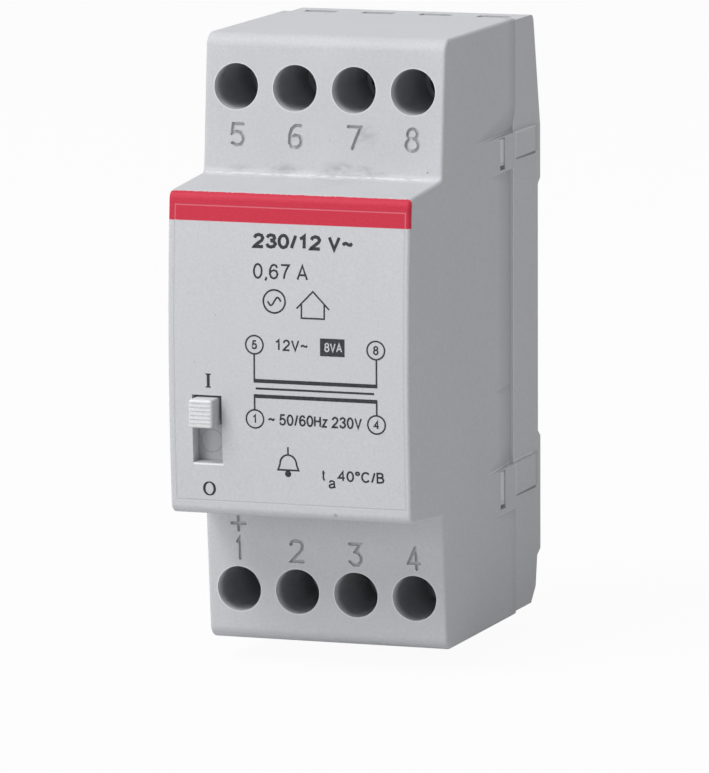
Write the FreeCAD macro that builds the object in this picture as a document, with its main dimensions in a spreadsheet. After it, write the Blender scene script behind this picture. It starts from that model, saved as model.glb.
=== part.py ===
import FreeCAD, Part

import math
import os
from types import SimpleNamespace

import Sketcher
from FreeCAD import Rotation, Vector

# Doorbell transformer for a 35 mm top-hat rail, two modules wide.
# Millimetres. The origin is the middle of the rail seat on the back. The front
# faces -Y, the rail is behind at +Y, +X is to the right and +Z is up.

doc = FreeCAD.newDocument("doorbell_transformer")
sheet = doc.addObject("Spreadsheet::Sheet", "sizes")


class Size:
    """A length or angle as a number, with the sheet expression that gives it."""

    def __init__(self, text, value):
        self.text = text
        self.value = value

    def join(self, sign, other, value, swapped=False):
        left, right = self.text, size(other).text
        if swapped:
            left, right = right, left
        return Size(f"({left} {sign} {right})", value)

    def __add__(self, other):
        return self.join("+", other, self.value + size(other).value)

    __radd__ = __add__

    def __sub__(self, other):
        return self.join("-", other, self.value - size(other).value)

    def __rsub__(self, other):
        return self.join("-", other, size(other).value - self.value, swapped=True)

    def __mul__(self, other):
        return self.join("*", other, self.value * size(other).value)

    __rmul__ = __mul__

    def __truediv__(self, other):
        return self.join("/", other, self.value / size(other).value)

    def __neg__(self):
        return Size(f"(0 - {self.text})", -self.value)


def size(number):
    """A plain number or a Size, as a Size."""
    if isinstance(number, Size):
        return number
    return Size(f"{number:.6g}" if number >= 0 else f"(0 - {-number:.6g})", float(number))


def tangent(angle):
    """Tangent of an angle in degrees."""
    return Size(f"tan({angle.text})", math.tan(math.radians(angle.value)))


SIZES = {
    # Outer form of the housing
    "width": 35.0,
    "height": 85.0,
    "nose_depth": 57.5,
    "nose_height": 44.6,
    "nose_draft": 4.2,
    "nose_radius": 285.0,
    "shoulder_depth": 41.5,
    "shoulder_slope": 4.5,
    "split_depth": 11.2,
    "shoulder_round": 2.0,
    "nose_round": 1.3,
    "root_round": 0.9,
    "side_round": 0.5,
    # Walls and gaps
    "front_wall": 1.8,
    "side_wall": 1.3,
    "base_inset": 0.35,
    "base_side_wall": 0.95,
    "base_end_wall": 1.2,
    "base_floor": 1.6,
    "rib": 1.1,
    "slide_gap": 0.15,
    "snap_gap": 0.1,
    "embed": 0.15,
    "tool_over": 1.0,
    # Terminals
    "pitch": 8.6,
    "row_height": 35.2,
    "well_diameter": 6.4,
    "well_bar_height": 8.4,
    "well_rear": 26.0,
    "well_lip": 1.2,
    "well_lip_diameter": 5.2,
    "entry_width": 4.7,
    "entry_depth": 5.4,
    "cage_room": 0.8,
    "screw_diameter": 3.5,
    "screw_head_diameter": 5.8,
    "screw_head_length": 2.4,
    "screw_slot_width": 0.9,
    "screw_slot_depth": 1.2,
    "thread_gap": 0.05,
    "cage_width": 6.0,
    "cage_height": 6.0,
    "cage_side": 0.6,
    "cage_nut": 1.8,
    "cage_jaw": 1.0,
    "cage_front": 19.0,
    "cage_rear": 5.3,
    "bar_thickness": 1.0,
    "bar_front": 13.0,
    "bar_waist": 4.4,
    "bar_wide": 6.4,
    "bar_tag": 2.4,
    # Latches between the halves
    "window_front": 18.0,
    "window_width": 2.2,
    "upper_latch_top": 26.4,
    "upper_latch_bottom": 21.6,
    "lower_latch_top": -20.75,
    "lower_latch_bottom": -26.5,
    "latch_rim": 0.2,
    "latch_foot_gap": 0.7,
    "tongue_thickness": 0.8,
    "tongue_tip": 18.8,
    "pad_rear": 1.8,
    "side_hollow": 0.75,
    "scoop_radius": 13.0,
    "upper_scoop_reach": 18.1,
    "upper_scoop_rise": 4.5,
    "under_scoop_reach": 11.8,
    "under_scoop_rise": 5.0,
    "lower_scoop_reach": 12.9,
    "lower_scoop_rise": 5.5,
    "bottom_scoop_reach": 10.7,
    "bottom_scoop_rise": 1.6,
    # Rail seat, hook and clip
    "rail_height": 35.0,
    "rail_play": 0.25,
    "rail_thickness": 1.0,
    "foot_rise": 1.1,
    "foot_bevel": 0.8,
    "upper_foot_slope": 26.0,
    "upper_foot_back": 2.1,
    "lower_foot_end": 34.9,
    "hook_width": 14.0,
    "hook_reach": 1.9,
    "hook_lip": 1.8,
    "clip_width": 12.0,
    "clip_wing": 1.0,
    "clip_depth": 2.2,
    "clip_web": 1.1,
    "clip_travel": 3.0,
    "clip_catch": 1.5,
    "spring_diameter": 2.6,
    "spring_wire": 0.4,
    "spring_length": 9.0,
    "spring_turns": 6,
    "spring_seat": 35.0,
    "spring_window": 3.2,
    # Slide switch
    "slot_left": -14.0,
    "slot_width": 4.3,
    "slot_top": -5.7,
    "slot_height": 9.4,
    "slot_floor": 54.85,
    "knob_width": 3.5,
    "knob_height": 3.9,
    "knob_rise": 2.5,
    "knob_gap": 0.3,
    "knob_round": 0.3,
    "grip_ribs": 7,
    "grip_depth": 0.16,
    "shield_thickness": 1.0,
    "shield_margin": 0.35,
    "shield_overlap": 0.2,
    "switch_rail": 0.65,
    "switch_floor": 46.0,
    "switch_rear": 44.0,
    "contact_thickness": 0.6,
    "bridge_thickness": 0.4,
    "bridge_span": 6.5,
    "bridge_stand": 2.0,
    "bridge_room": 1.8,
    "stem_height": 3.0,
    "tail_width": 2.5,
    "contact_tail": 41.5,
    # Transformer
    "core_height": 42.0,
    "core_limb": 7.0,
    "core_window": 21.0,
    "core_stack": 15.0,
    "core_rear": 3.5,
    "cradle_depth": 6.0,
    "former_wall": 1.0,
    "former_gap": 0.2,
    "coil_gap": 0.3,
    "former_half_width": 14.4,
    "chamber_wall": 0.8,
    "primary_length": 10.8,
    "primary_slack": 0.1,
    "secondary_slack": 0.5,
    "tape_thickness": 0.3,
    "rail_reach": 4.8,
    "rail_thick": 2.0,
    "pin_side": 0.8,
    "pin_length": 4.0,
    "cutout_thickness": 1.5,
    "cutout_length": 12.0,
    "cutout_width": 7.0,
    "lead_diameter": 1.2,
    "neutral_drop": 7.0,
    "switched_run": 9.5,
}

for row, (name, number) in enumerate(SIZES.items(), 1):
    sheet.set(f"A{row}", name)
    sheet.set(f"B{row}", str(number))
    sheet.setAlias(f"B{row}", name)

# The same sizes for the script: each knows its number and its sheet cell
d = SimpleNamespace(**{name: Size(f"{sheet.Name}.{name}", float(number))
                       for name, number in SIZES.items()})

# The terminal columns of a row, counted in pitches from the middle
COLUMNS = 4
PLACES = [column - (COLUMNS - 1) / 2 for column in range(COLUMNS)]

# The positions that the connection diagram wires, from the left, by row
TERMINALS = {"1": (PLACES[0], -1), "4": (PLACES[-1], -1), "5": (PLACES[0], 1), "8": (PLACES[-1], 1)}

# Edges and planes that several pieces share
half_width = d.width / 2
half_height = d.height / 2
half_nose = d.nose_height / 2
nose_sag = half_nose * half_nose / (2 * d.nose_radius)
nose_edge = d.nose_depth - nose_sag
root_depth = d.shoulder_depth + tangent(d.shoulder_slope) * (half_height - half_nose)
half_root = half_nose + tangent(d.nose_draft) * (nose_edge - root_depth)
base_half_width = half_width - d.base_inset
base_half_height = half_height - d.base_inset
rail_half = d.rail_height / 2 + d.rail_play
inner_half_width = half_width - d.side_wall
inner_half_height = half_height - d.side_wall
slot_centre = d.slot_left + d.slot_width / 2
knob_top = d.slot_top - d.knob_gap
knob_travel = d.slot_height - d.knob_height - 2 * d.knob_gap
bar_rear = d.bar_front - d.bar_thickness
core_front = d.core_rear + 2 * d.core_limb + d.core_window
former_rear = d.core_rear + d.core_limb + d.former_gap
former_front = core_front - d.core_limb - d.former_gap



def renew(*items):
    """Recompute only the given objects, in order."""
    for item in items:
        item.recompute()
        item.purgeTouched()


renew(sheet)


def plane_of(body, role):
    return [part for part in body.Origin.OriginFeatures if part.Role == role][0]


AXIS_PLANES = {"x": ("YZ_Plane", 1), "y": ("XZ_Plane", -1), "z": ("XY_Plane", 1)}


def new_body(label):
    body = doc.addObject("PartDesign::Body", label)
    body.Label = label
    return body


def sketch_at(body, name, axis, at):
    """A sketch across an axis, at a place along it."""
    role, sign = AXIS_PLANES[axis]
    sketch = body.newObject("Sketcher::SketchObject", name)
    sketch.AttachmentSupport = [(plane_of(body, role), "")]
    sketch.MapMode = "FlatFace"
    sketch.setExpression("AttachmentOffset.Base.z", (sign * size(at)).text)
    return sketch


def place_point(sketch, geometry, position, point):
    """Hold one point of the sketch at its two sizes from the sketch's origin."""
    for kind, length in zip(("DistanceX", "DistanceY"), point):
        index = sketch.addConstraint(Sketcher.Constraint(kind, -1, 1, geometry, position, length.value))
        sketch.setExpression(f"Constraints[{index}]", length.text)


def draw_outline(sketch, points, bulges=None):
    """A closed outline. bulges gives an arc's radius for the run after a point."""
    bulges = bulges or {}
    points = [(size(u), size(v)) for u, v in points]
    first = sketch.GeometryCount
    count = len(points)
    for i in range(count):
        start = Vector(points[i][0].value, points[i][1].value, 0)
        end = Vector(points[(i + 1) % count][0].value, points[(i + 1) % count][1].value, 0)
        if i in bulges:
            radius = abs(bulges[i].value)
            chord = end - start
            middle = (start + end) / 2
            normal = Vector(chord.y, -chord.x, 0).normalize()
            rise = radius - math.sqrt(radius * radius - chord.Length * chord.Length / 4)
            peak = middle + normal * math.copysign(rise, bulges[i].value)
            sketch.addGeometry(Part.Arc(start, peak, end))
        else:
            sketch.addGeometry(Part.LineSegment(start, end))
    ends = []
    for i in range(count):
        geometry = sketch.Geometry[first + i]
        start = Vector(points[i][0].value, points[i][1].value, 0)
        near = (geometry.StartPoint - start).Length < (geometry.EndPoint - start).Length
        ends.append((1, 2) if near else (2, 1))
    for i in range(count):
        following = (i + 1) % count
        sketch.addConstraint(Sketcher.Constraint(
            "Coincident", first + i, ends[i][1], first + following, ends[following][0]))
        place_point(sketch, first + i, ends[i][0], points[i])
        if i in bulges:
            index = sketch.addConstraint(Sketcher.Constraint("Radius", first + i, abs(bulges[i].value)))
            sketch.setExpression(f"Constraints[{index}]", bulges[i].text)


def draw_circle(sketch, centre, diameter):
    centre = (size(centre[0]), size(centre[1]))
    index = sketch.addGeometry(Part.Circle(
        Vector(centre[0].value, centre[1].value, 0), Vector(0, 0, 1), diameter.value / 2))
    place_point(sketch, index, 3, centre)
    held = sketch.addConstraint(Sketcher.Constraint("Diameter", index, diameter.value))
    sketch.setExpression(f"Constraints[{held}]", diameter.text)


def rectangle(low_u, high_u, low_v, high_v):
    return [(low_u, low_v), (high_u, low_v), (high_u, high_v), (low_u, high_v)]


def rounded(half_u, half_v, radius):
    """A centred rectangle with round corners, as points and arc radii."""
    u, v = half_u - radius, half_v - radius
    points = [(-u, -half_v), (u, -half_v), (half_u, -v), (half_u, v),
              (u, half_v), (-u, half_v), (-half_u, v), (-half_u, -v)]
    return points, {1: radius, 3: radius, 5: radius, 7: radius}


def extrude(body, name, axis, low, high, outlines=(), circles=(), cut=False):
    """Pad or pocket outlines and circles between two places along an axis.

    An outline is a list of points, or a pair of points and arc radii.
    """
    low, high = size(low), size(high)
    role, sign = AXIS_PLANES[axis]
    before = body.Tip.Shape.Volume if body.Tip else 0.0
    sketch = sketch_at(body, name + "_sketch", axis, high if sign < 0 else low)
    for outline in outlines:
        points, bulges = outline if isinstance(outline, tuple) else (outline, None)
        draw_outline(sketch, points, bulges)
    for centre, diameter in circles:
        draw_circle(sketch, centre, diameter)
    feature = body.newObject("PartDesign::Pocket" if cut else "PartDesign::Pad", name)
    feature.Profile = sketch
    feature.setExpression("Length", (high - low).text)
    feature.Reversed = cut
    renew(sketch, feature)
    change = feature.Shape.Volume - before
    if (change > -1e-6) if cut else (change < 1e-6):
        raise RuntimeError(f"{name} in {body.Label} changes nothing")
    return feature


def block(body, name, x, y, z, cut=False, twin=""):
    """A box of material or a box-shaped cut, given as three spans.

    The span in z may be a list of spans. The twin letters x and z repeat the
    boxes on the other side of that middle plane.
    """
    spans = [(x, up) for up in (z if isinstance(z, list) else [z])]
    if "x" in twin:
        spans += [((-across[1], -across[0]), up) for across, up in spans]
    if "z" in twin:
        spans += [(across, (-up[1], -up[0])) for across, up in spans]
    outlines = [rectangle(across[0], across[1], up[0], up[1]) for across, up in spans]
    return extrude(body, name, "y", y[0], y[1], outlines, cut=cut)


def edge_names(feature, test):
    names = []
    for number, edge in enumerate(feature.Shape.Edges, 1):
        if test(edge):
            names.append(f"Edge{number}")
    if not names:
        raise RuntimeError(f"no edge of {feature.Name} fits")
    return names


def round_edges(body, name, radius, test):
    base = body.Tip
    feature = body.newObject("PartDesign::Fillet", name)
    feature.Base = (base, edge_names(base, test))
    feature.setExpression("Radius", radius.text)
    renew(feature)
    return feature


def lies_at(edge, x=None, y=None, z=None, reach=1e-4):
    """True where the whole edge lies at the given coordinates; z is taken both ways."""
    box = edge.BoundBox
    if x is not None and max(abs(abs(box.XMin) - x.value), abs(abs(box.XMax) - x.value)) > reach:
        return False
    if y is not None and max(abs(box.YMin - y.value), abs(box.YMax - y.value)) > reach:
        return False
    if z is not None and max(abs(abs(box.ZMin) - z.value), abs(abs(box.ZMax) - z.value)) > reach:
        return False
    return True


def box_solid(name, x, y, z):
    """A free box, given as three spans."""
    solid = doc.addObject("Part::Box", name)
    for side, span, way in zip(("Length", "Width", "Height"), (x, y, z), "xyz"):
        low, high = size(span[0]), size(span[1])
        solid.setExpression(side, (high - low).text)
        solid.setExpression(f"Placement.Base.{way}", low.text)
    return solid


def fused(name, solids):
    joined = doc.addObject("Part::MultiFuse", name)
    joined.Shapes = solids
    return joined


def cut_from(name, base, tool):
    result = doc.addObject("Part::Cut", name)
    result.Base = base
    result.Tool = tool
    return result


FREE_TURNS = {"x": Rotation(Vector(1, 1, 1), 120), "y": Rotation(Vector(1, 0, 0), 90), "z": Rotation()}


def free_prism(name, axis, low, high, outline):
    """A free prism with a straight-sided outline across an axis."""
    sketch = doc.addObject("Sketcher::SketchObject", name + "_outline")
    sketch.Placement.Rotation = FREE_TURNS[axis]
    sketch.setExpression(f"Placement.Base.{axis}", size(low).text)
    draw_outline(sketch, outline)
    prism = doc.addObject("Part::Extrusion", name)
    prism.Base = sketch
    prism.DirMode = "Normal"
    prism.setExpression("LengthFwd", (size(high) - low).text)
    prism.Solid = True
    return prism


parts = []


def keep(item, label):
    """Name a finished sub-part and put it on the list of files."""
    item.Label = label
    parts.append(item)
    return item


# Front housing: one grey moulding, open at the back. The stepped nose carries
# the switch slot, and each shoulder has a row of four screw wells.
guide_half = d.slot_width / 2 + d.shield_margin + d.snap_gap + d.switch_rail
shield_top = d.slot_top + d.shield_overlap + knob_travel
shield_bottom = d.slot_top - d.slot_height - d.shield_overlap
well_bar_low = d.row_height - d.well_bar_height / 2


def scoop(name, line, way, reach, rise):
    """The tool for one shallow scoop beside a latch, on the right side.

    The side rolls off as a large cylinder that touches it along the line from
    the scoop's tip to its far corner at the split.
    """
    corner = (-d.split_depth, line)
    tip = (-(d.split_depth + reach), line)
    far = (-d.split_depth, line + way * rise)
    wedge = free_prism(name + "_wedge", "x", half_width - d.side_wall / 2, half_width + d.side_wall / 2,
                       [tip, corner, far])
    roller = doc.addObject("Part::Cylinder", name + "_roller")
    roller.setExpression("Radius", d.scoop_radius.text)
    roller.setExpression("Height", (4 * reach).text)
    slant = math.atan2(way * rise.value, reach.value)
    roller.Placement.Rotation = Rotation(Vector(0, 0, 1), Vector(0, math.cos(slant), math.sin(slant)))
    roller.setExpression("Placement.Base.x", (half_width - d.scoop_radius).text)
    roller.setExpression("Placement.Base.y", (-(d.split_depth + 2 * reach)).text)
    roller.setExpression("Placement.Base.z", (line - way * rise).text)
    return cut_from(name, wedge, roller)


def side_tools():
    """The scoops at both latches and the hollow between them, for both sides."""
    tools = [scoop("upper_scoop", d.upper_latch_top, 1, d.upper_scoop_reach, d.upper_scoop_rise),
             scoop("under_scoop", d.upper_latch_bottom - d.latch_rim, -1, d.under_scoop_reach,
                   d.under_scoop_rise),
             scoop("lower_scoop", d.lower_latch_top, 1, d.lower_scoop_reach, d.lower_scoop_rise),
             scoop("bottom_scoop", d.lower_latch_bottom - d.latch_rim, -1,
                   d.bottom_scoop_reach, d.bottom_scoop_rise)]
    hollow_front = d.window_front + d.latch_rim
    tools.append(free_prism("side_hollow_tool", "z", d.lower_latch_top,
                            d.upper_latch_bottom - d.latch_rim, [
        (half_width, -hollow_front), (half_width - d.side_hollow, -d.split_depth),
        (half_width - d.side_hollow, -(d.split_depth - d.tool_over)),
        (half_width + d.tool_over, -(d.split_depth - d.tool_over)),
        (half_width + d.tool_over, -hollow_front)]))
    right = fused("right_side_tools", tools)
    left = doc.addObject("Part::Mirroring", "left_side_tools")
    left.Source = right
    left.Normal = Vector(1, 0, 0)
    return fused("side_tools", [right, left])


def make_front_housing():
    body = new_body("front_housing_moulding")
    upper = [(-d.split_depth, half_height), (-d.shoulder_depth, half_height),
             (-root_depth, half_root), (-nose_edge, half_nose)]
    lower = [(u, -v) for u, v in reversed(upper)]
    extrude(body, "outer_form", "x", -half_width, half_width, [(upper + lower, {3: d.nose_radius})])
    round_edges(body, "shoulder_rounds", d.shoulder_round,
                lambda e: lies_at(e, y=-d.shoulder_depth, z=half_height))
    round_edges(body, "nose_rounds", d.nose_round, lambda e: lies_at(e, y=-nose_edge, z=half_nose))
    round_edges(body, "root_rounds", d.root_round, lambda e: lies_at(e, y=-root_depth, z=half_root))
    round_edges(body, "side_rounds", d.side_round,
                lambda e: lies_at(e, x=half_width) and not lies_at(e, y=-d.split_depth))

    # The hollow follows the outside at one wall's distance
    inner_upper = [(-d.split_depth, inner_half_height),
                   (-(d.shoulder_depth - d.front_wall), inner_half_height),
                   (-(root_depth - d.front_wall), half_root - d.side_wall),
                   (-(nose_edge - d.front_wall), half_nose - d.side_wall)]
    inner_lower = [(u, -v) for u, v in reversed(inner_upper)]
    extrude(body, "hollow", "x", -inner_half_width, inner_half_width,
            [(inner_upper + inner_lower, {3: d.nose_radius - d.front_wall})], cut=True)

    # Well bars, stepped wells and their lips that keep the screws in
    block(body, "well_bars", (-inner_half_width, inner_half_width),
          (-(d.shoulder_depth - d.front_wall / 2), -d.well_rear),
          (well_bar_low, well_bar_low + d.well_bar_height), twin="z")
    centres = []
    for place in PLACES:
        for side in (-1, 1):
            centres.append((d.pitch * place, side * d.row_height))
    extrude(body, "well_lips", "y", -d.nose_depth, -(d.well_rear - d.tool_over),
            circles=[(centre, d.well_lip_diameter) for centre in centres], cut=True)
    extrude(body, "wells", "y", -d.nose_depth, -(d.well_rear + d.well_lip),
            circles=[(centre, d.well_diameter) for centre in centres], cut=True)

    # Collar and slot of the switch
    block(body, "slot_collar", (slot_centre - guide_half, slot_centre + guide_half),
          (-(nose_edge - d.front_wall / 2), -d.slot_floor),
          (d.slot_top - d.slot_height - d.slot_width / 2, d.slot_top + d.slot_width / 2))
    block(body, "slot", (d.slot_left, d.slot_left + d.slot_width),
          (-d.nose_depth, -(d.slot_floor - d.tool_over)),
          (d.slot_top - d.slot_height, d.slot_top), cut=True)

    # Ribs on the nose's walls that hold the core down
    block(body, "hold_downs", (-d.core_stack / 3, d.core_stack / 3),
          (-(root_depth + nose_edge) / 2, -(core_front + d.snap_gap)),
          (d.core_height / 2 - 2 * d.rib, half_root - d.side_wall / 2), twin="z")

    # Latch windows through both sides
    windows = []
    for low, high in ((d.upper_latch_bottom, d.upper_latch_top),
                      (d.lower_latch_bottom, d.lower_latch_top)):
        windows.append(rectangle(-d.window_front, -(d.window_front - d.window_width),
                                 low + d.latch_rim / 2, high - d.latch_rim))
    extrude(body, "windows", "x", -half_width - d.tool_over, half_width + d.tool_over, windows, cut=True)
    keep(cut_from("front_housing_finished", body, side_tools()), "front_housing")


# Rear base: the grey moulded tray that carries everything. Its outside is a
# little smaller than the front housing all round.
base_inner_x = base_half_width - d.base_side_wall
base_inner_z = base_half_height - d.base_end_wall
row_end = d.row_height - d.cage_height / 2 - d.cage_room
row_outer = d.row_height + d.cage_height / 2 + d.cage_room
hook_face = d.rail_thickness + d.slide_gap
clip_layer = d.clip_depth - d.foot_rise
clip_half = d.clip_width / 2
row_floor = d.upper_foot_back + d.base_floor


def make_rear_base():
    body = new_body("rear_base")
    outline = [(-d.split_depth, base_half_height), (-d.upper_foot_back, base_half_height),
               (d.foot_rise, d.upper_foot_slope), (d.foot_rise, rail_half + d.foot_bevel), (0, rail_half),
               (0, -rail_half), (d.foot_rise, -(rail_half + d.foot_bevel)),
               (d.foot_rise, -d.lower_foot_end),
               (-d.foot_rise / 3, -(d.lower_foot_end + d.foot_bevel)),
               (-d.foot_rise, -(base_half_height - d.upper_foot_back)),
               (-(d.foot_rise + d.upper_foot_back), -base_half_height),
               (-d.split_depth, -base_half_height)]
    extrude(body, "outer_form", "x", -base_half_width, base_half_width, [outline])
    round_edges(body, "rear_round", d.base_end_wall,
                lambda e: lies_at(e, y=-d.upper_foot_back, z=base_half_height))
    block(body, "tray", (-base_inner_x, base_inner_x), (-d.split_depth - d.tool_over, -d.base_floor),
          (-(row_end - d.rib), row_end - d.rib), cut=True)
    block(body, "row_trays", (-base_inner_x, base_inner_x), (-d.split_depth - d.tool_over, -row_floor),
          (row_end - 2 * d.rib, base_inner_z), cut=True, twin="z")

    # Thicker floor behind the clip channel
    boss_half = clip_half + d.clip_wing + d.slide_gap + d.clip_web
    block(body, "channel_boss", (-boss_half, boss_half), (-(d.clip_depth + d.clip_web), -d.base_floor / 2),
          (-(base_half_height - d.upper_foot_back), -rail_half + d.clip_web))

    # Core cradle: pads, side ribs and end walls
    floor = -d.base_floor / 2
    block(body, "core_pads", (-d.core_stack / 2, d.core_stack / 2), (-d.core_rear, floor),
          (d.core_height / 2 - d.core_limb, d.core_height / 2 - d.rib), twin="z")
    block(body, "core_ends", (-(d.core_stack / 2 + 2 * d.rib), d.core_stack / 2 + 2 * d.rib),
          (-(core_front - d.core_limb - d.rib), floor),
          (d.core_height / 2 + d.snap_gap, d.core_height / 2 + d.snap_gap + d.rib), twin="z")
    block(body, "core_sides", (d.core_stack / 2 + d.snap_gap, d.core_stack / 2 + d.snap_gap + d.rib),
          (-(d.core_rear + d.cradle_depth), floor), (-d.core_height / 2, d.core_height / 2), twin="x")

    # Fixed hook over the rail's upper edge
    block(body, "hook", (-d.hook_width / 2, d.hook_width / 2), (-d.base_floor / 2, hook_face + d.hook_lip),
          (rail_half, rail_half + 2 * d.hook_lip))
    block(body, "hook_lip", (-d.hook_width / 2, d.hook_width / 2), (hook_face, hook_face + d.hook_lip),
          (rail_half - d.hook_reach, rail_half + d.hook_lip))

    # Channel of the sprung clip, with the tab that its spring stands on
    wing_half = clip_half + d.clip_wing + d.slide_gap
    block(body, "channel_low", (-wing_half, wing_half), (-d.clip_depth, -clip_layer + d.slide_gap),
          (-base_half_height - d.tool_over, -rail_half), cut=True)
    block(body, "channel", (-(clip_half + d.slide_gap), clip_half + d.slide_gap),
          (-d.clip_depth, d.foot_rise + d.tool_over),
          (-base_half_height - d.tool_over, -rail_half), cut=True)
    tab_half = d.spring_window / 2 - d.slide_gap
    block(body, "spring_tab", (-tab_half, tab_half),
          (-(d.clip_depth + d.embed), d.foot_rise - 2 * d.slide_gap),
          (-(d.spring_seat + d.rib), -d.spring_seat))

    # Terminal pockets: inner wall, barriers and outer posts, top and bottom
    wall_half = base_inner_x + d.embed
    row_seat = -row_floor + d.embed
    block(body, "pocket_walls", (-wall_half, wall_half), (-bar_rear, row_seat),
          (row_end - d.rib, row_end), twin="z")
    block(body, "pocket_posts", (-wall_half, wall_half), (-bar_rear, row_seat),
          (row_outer, base_inner_z + d.embed), twin="z")
    barriers = []
    for place in (-1, 0, 1):
        for side in (-1, 1):
            low, high = row_end - d.rib / 2, base_inner_z + d.embed
            span = (low, high) if side > 0 else (-high, -low)
            barriers.append(rectangle(d.pitch * place - d.rib / 2, d.pitch * place + d.rib / 2, span[0],
                                      span[1]))
    extrude(body, "barriers", "y", -(d.cage_front + d.rib), row_seat, barriers)

    # Snap tongues with barbs in the front housing's windows, and the side pads
    tongue_face = inner_half_width - d.snap_gap
    tongue_back = tongue_face - d.tongue_thickness
    root_rear = d.split_depth - 2 * d.rib
    latches = [(d.upper_latch_bottom + d.latch_foot_gap, d.upper_latch_top - 2 * d.latch_rim),
               (d.lower_latch_bottom + d.latch_foot_gap, d.lower_latch_top - 2 * d.latch_rim)]
    pads = [(d.upper_latch_bottom + d.latch_foot_gap + d.snap_gap, d.upper_latch_top),
            (d.lower_latch_bottom + d.latch_foot_gap + d.snap_gap, d.lower_latch_top)]
    block(body, "tongues", (tongue_back, tongue_face), (-d.tongue_tip, -root_rear), latches, twin="x")
    block(body, "roots", (tongue_back, base_inner_x + d.embed), (-d.split_depth, -root_rear), latches,
          twin="x")
    block(body, "barbs", (tongue_face - d.snap_gap, half_width - d.latch_rim),
          (-(d.window_front - d.latch_rim), -(d.window_front - d.window_width + d.thread_gap)), latches,
          twin="x")
    block(body, "pads", (base_half_width - d.embed, half_width), (-d.split_depth, -d.pad_rear), pads,
          twin="x")

    # Wire entries through both ends
    entries = []
    for place in PLACES:
        for low, high in ((row_outer - d.rib, half_height), (-half_height, d.rib - row_outer)):
            entries.append(rectangle(d.pitch * place - d.entry_width / 2,
                                     d.pitch * place + d.entry_width / 2,
                                     low, high))
    extrude(body, "entries", "y", -(bar_rear + d.rib), -(d.split_depth - d.entry_depth), entries, cut=True)

    keep(body, "rear_base")


def make_rail_clip():
    body = new_body("rail_clip")
    low = -(base_half_height - d.slide_gap)
    high = -(rail_half + d.slide_gap)
    front = -(d.clip_depth - d.slide_gap)
    top = d.foot_rise - d.slide_gap
    block(body, "wings", (-(clip_half + d.clip_wing), clip_half + d.clip_wing), (front, -clip_layer),
          (low, high))
    block(body, "spine", (-clip_half, clip_half), (front, top), (low, high))
    block(body, "catch", (-(clip_half - d.clip_web), clip_half - d.clip_web),
          (top - d.embed, top + d.hook_lip),
          (high - d.hook_lip, high))
    block(body, "catch_lip", (-(clip_half - d.clip_web), clip_half - d.clip_web), (top, top + d.hook_lip),
          (high - d.hook_lip, -(d.rail_height / 2 - d.clip_catch)))
    half = d.spring_window / 2
    block(body, "spring_window", (-half, half), (front - d.tool_over, top + d.tool_over),
          (-(d.spring_seat + d.rib + d.clip_travel / 4), -(d.spring_seat - d.spring_length)), cut=True)
    block(body, "driver_slot", (-clip_half / 2, clip_half / 2), (0, top + d.tool_over),
          (low + d.clip_web, low + 2 * d.clip_web), cut=True)
    keep(body, "rail_clip")


def make_spring():
    """The clip's return spring: a round wire along a helix."""
    radius = ((d.spring_diameter - d.spring_wire) / 2).value
    wire = d.spring_wire.value
    turn_height = (d.spring_length.value - wire) / d.spring_turns.value
    helix = Part.makeHelix(turn_height, d.spring_length.value - wire, radius)
    ring = Part.Wire([Part.Circle(Vector(radius, 0, 0), Vector(0, 1, 0), wire / 2).toShape()])
    coil = Part.Wire(helix.Edges).makePipeShell([ring], True, True)
    spring = doc.addObject("Part::Feature", "rail_clip_spring")
    spring.Shape = coil
    spring.Placement.Base = Vector(0, (d.foot_rise.value - d.clip_depth.value) / 2,
                                   wire / 2 - d.spring_seat.value)
    keep(spring, "rail_clip_spring")


def make_terminal(number, place, side):
    """One screw, its cage and its contact bar."""
    x = d.pitch * place
    z = side * d.row_height
    head_front = d.well_rear - d.snap_gap
    head_rear = head_front - d.screw_head_length

    screw = new_body(f"terminal_screw_{number}")
    extrude(screw, "head", "y", -head_front, -head_rear, circles=[((x, z), d.screw_head_diameter)])
    round_edges(screw, "head_round", d.screw_slot_width / 3, lambda e: lies_at(e, y=-head_front))
    extrude(screw, "shank", "y", -head_rear, -(d.bar_front + d.thread_gap),
            circles=[((x, z), d.screw_diameter)])
    block(screw, "slot", (x - d.screw_slot_width / 2, x + d.screw_slot_width / 2),
          (-head_front - d.tool_over, -(head_front - d.screw_slot_depth)),
          (z - d.screw_head_diameter, z + d.screw_head_diameter), cut=True)
    keep(screw, f"terminal_screw_{number}")

    cage = new_body(f"clamp_cage_{number}")
    outer = rectangle(x - d.cage_width / 2, x + d.cage_width / 2, -d.cage_front, -d.cage_rear)
    inner_half = d.cage_width / 2 - d.cage_side
    inner = rectangle(x - inner_half, x + inner_half, -(d.cage_front - d.cage_nut),
                      -(d.cage_rear + d.cage_jaw))
    extrude(cage, "frame", "z", z - d.cage_height / 2, z + d.cage_height / 2, [outer, inner])
    extrude(cage, "thread", "y", -(d.cage_front + d.tool_over), -(d.cage_front - d.cage_nut - d.tool_over),
            circles=[((x, z), d.screw_diameter + 2 * d.thread_gap)], cut=True)
    keep(cage, f"clamp_cage_{number}")

    bar = new_body(f"contact_bar_{number}")
    waist, wide = d.bar_waist / 2, d.bar_wide / 2
    ends = (row_end - d.bar_tag, row_end, row_outer, base_inner_z - d.slide_gap)
    steps = [(wide, ends[0]), (wide, ends[1]), (waist, ends[1]), (waist, ends[2]), (wide, ends[2]),
             (wide, ends[3])]
    outline = [(x + u, side * v) for u, v in steps] + [(x - u, side * v) for u, v in reversed(steps)]
    extrude(bar, "bar", "y", -d.bar_front, -bar_rear, [outline])
    keep(bar, f"contact_bar_{number}")


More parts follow.
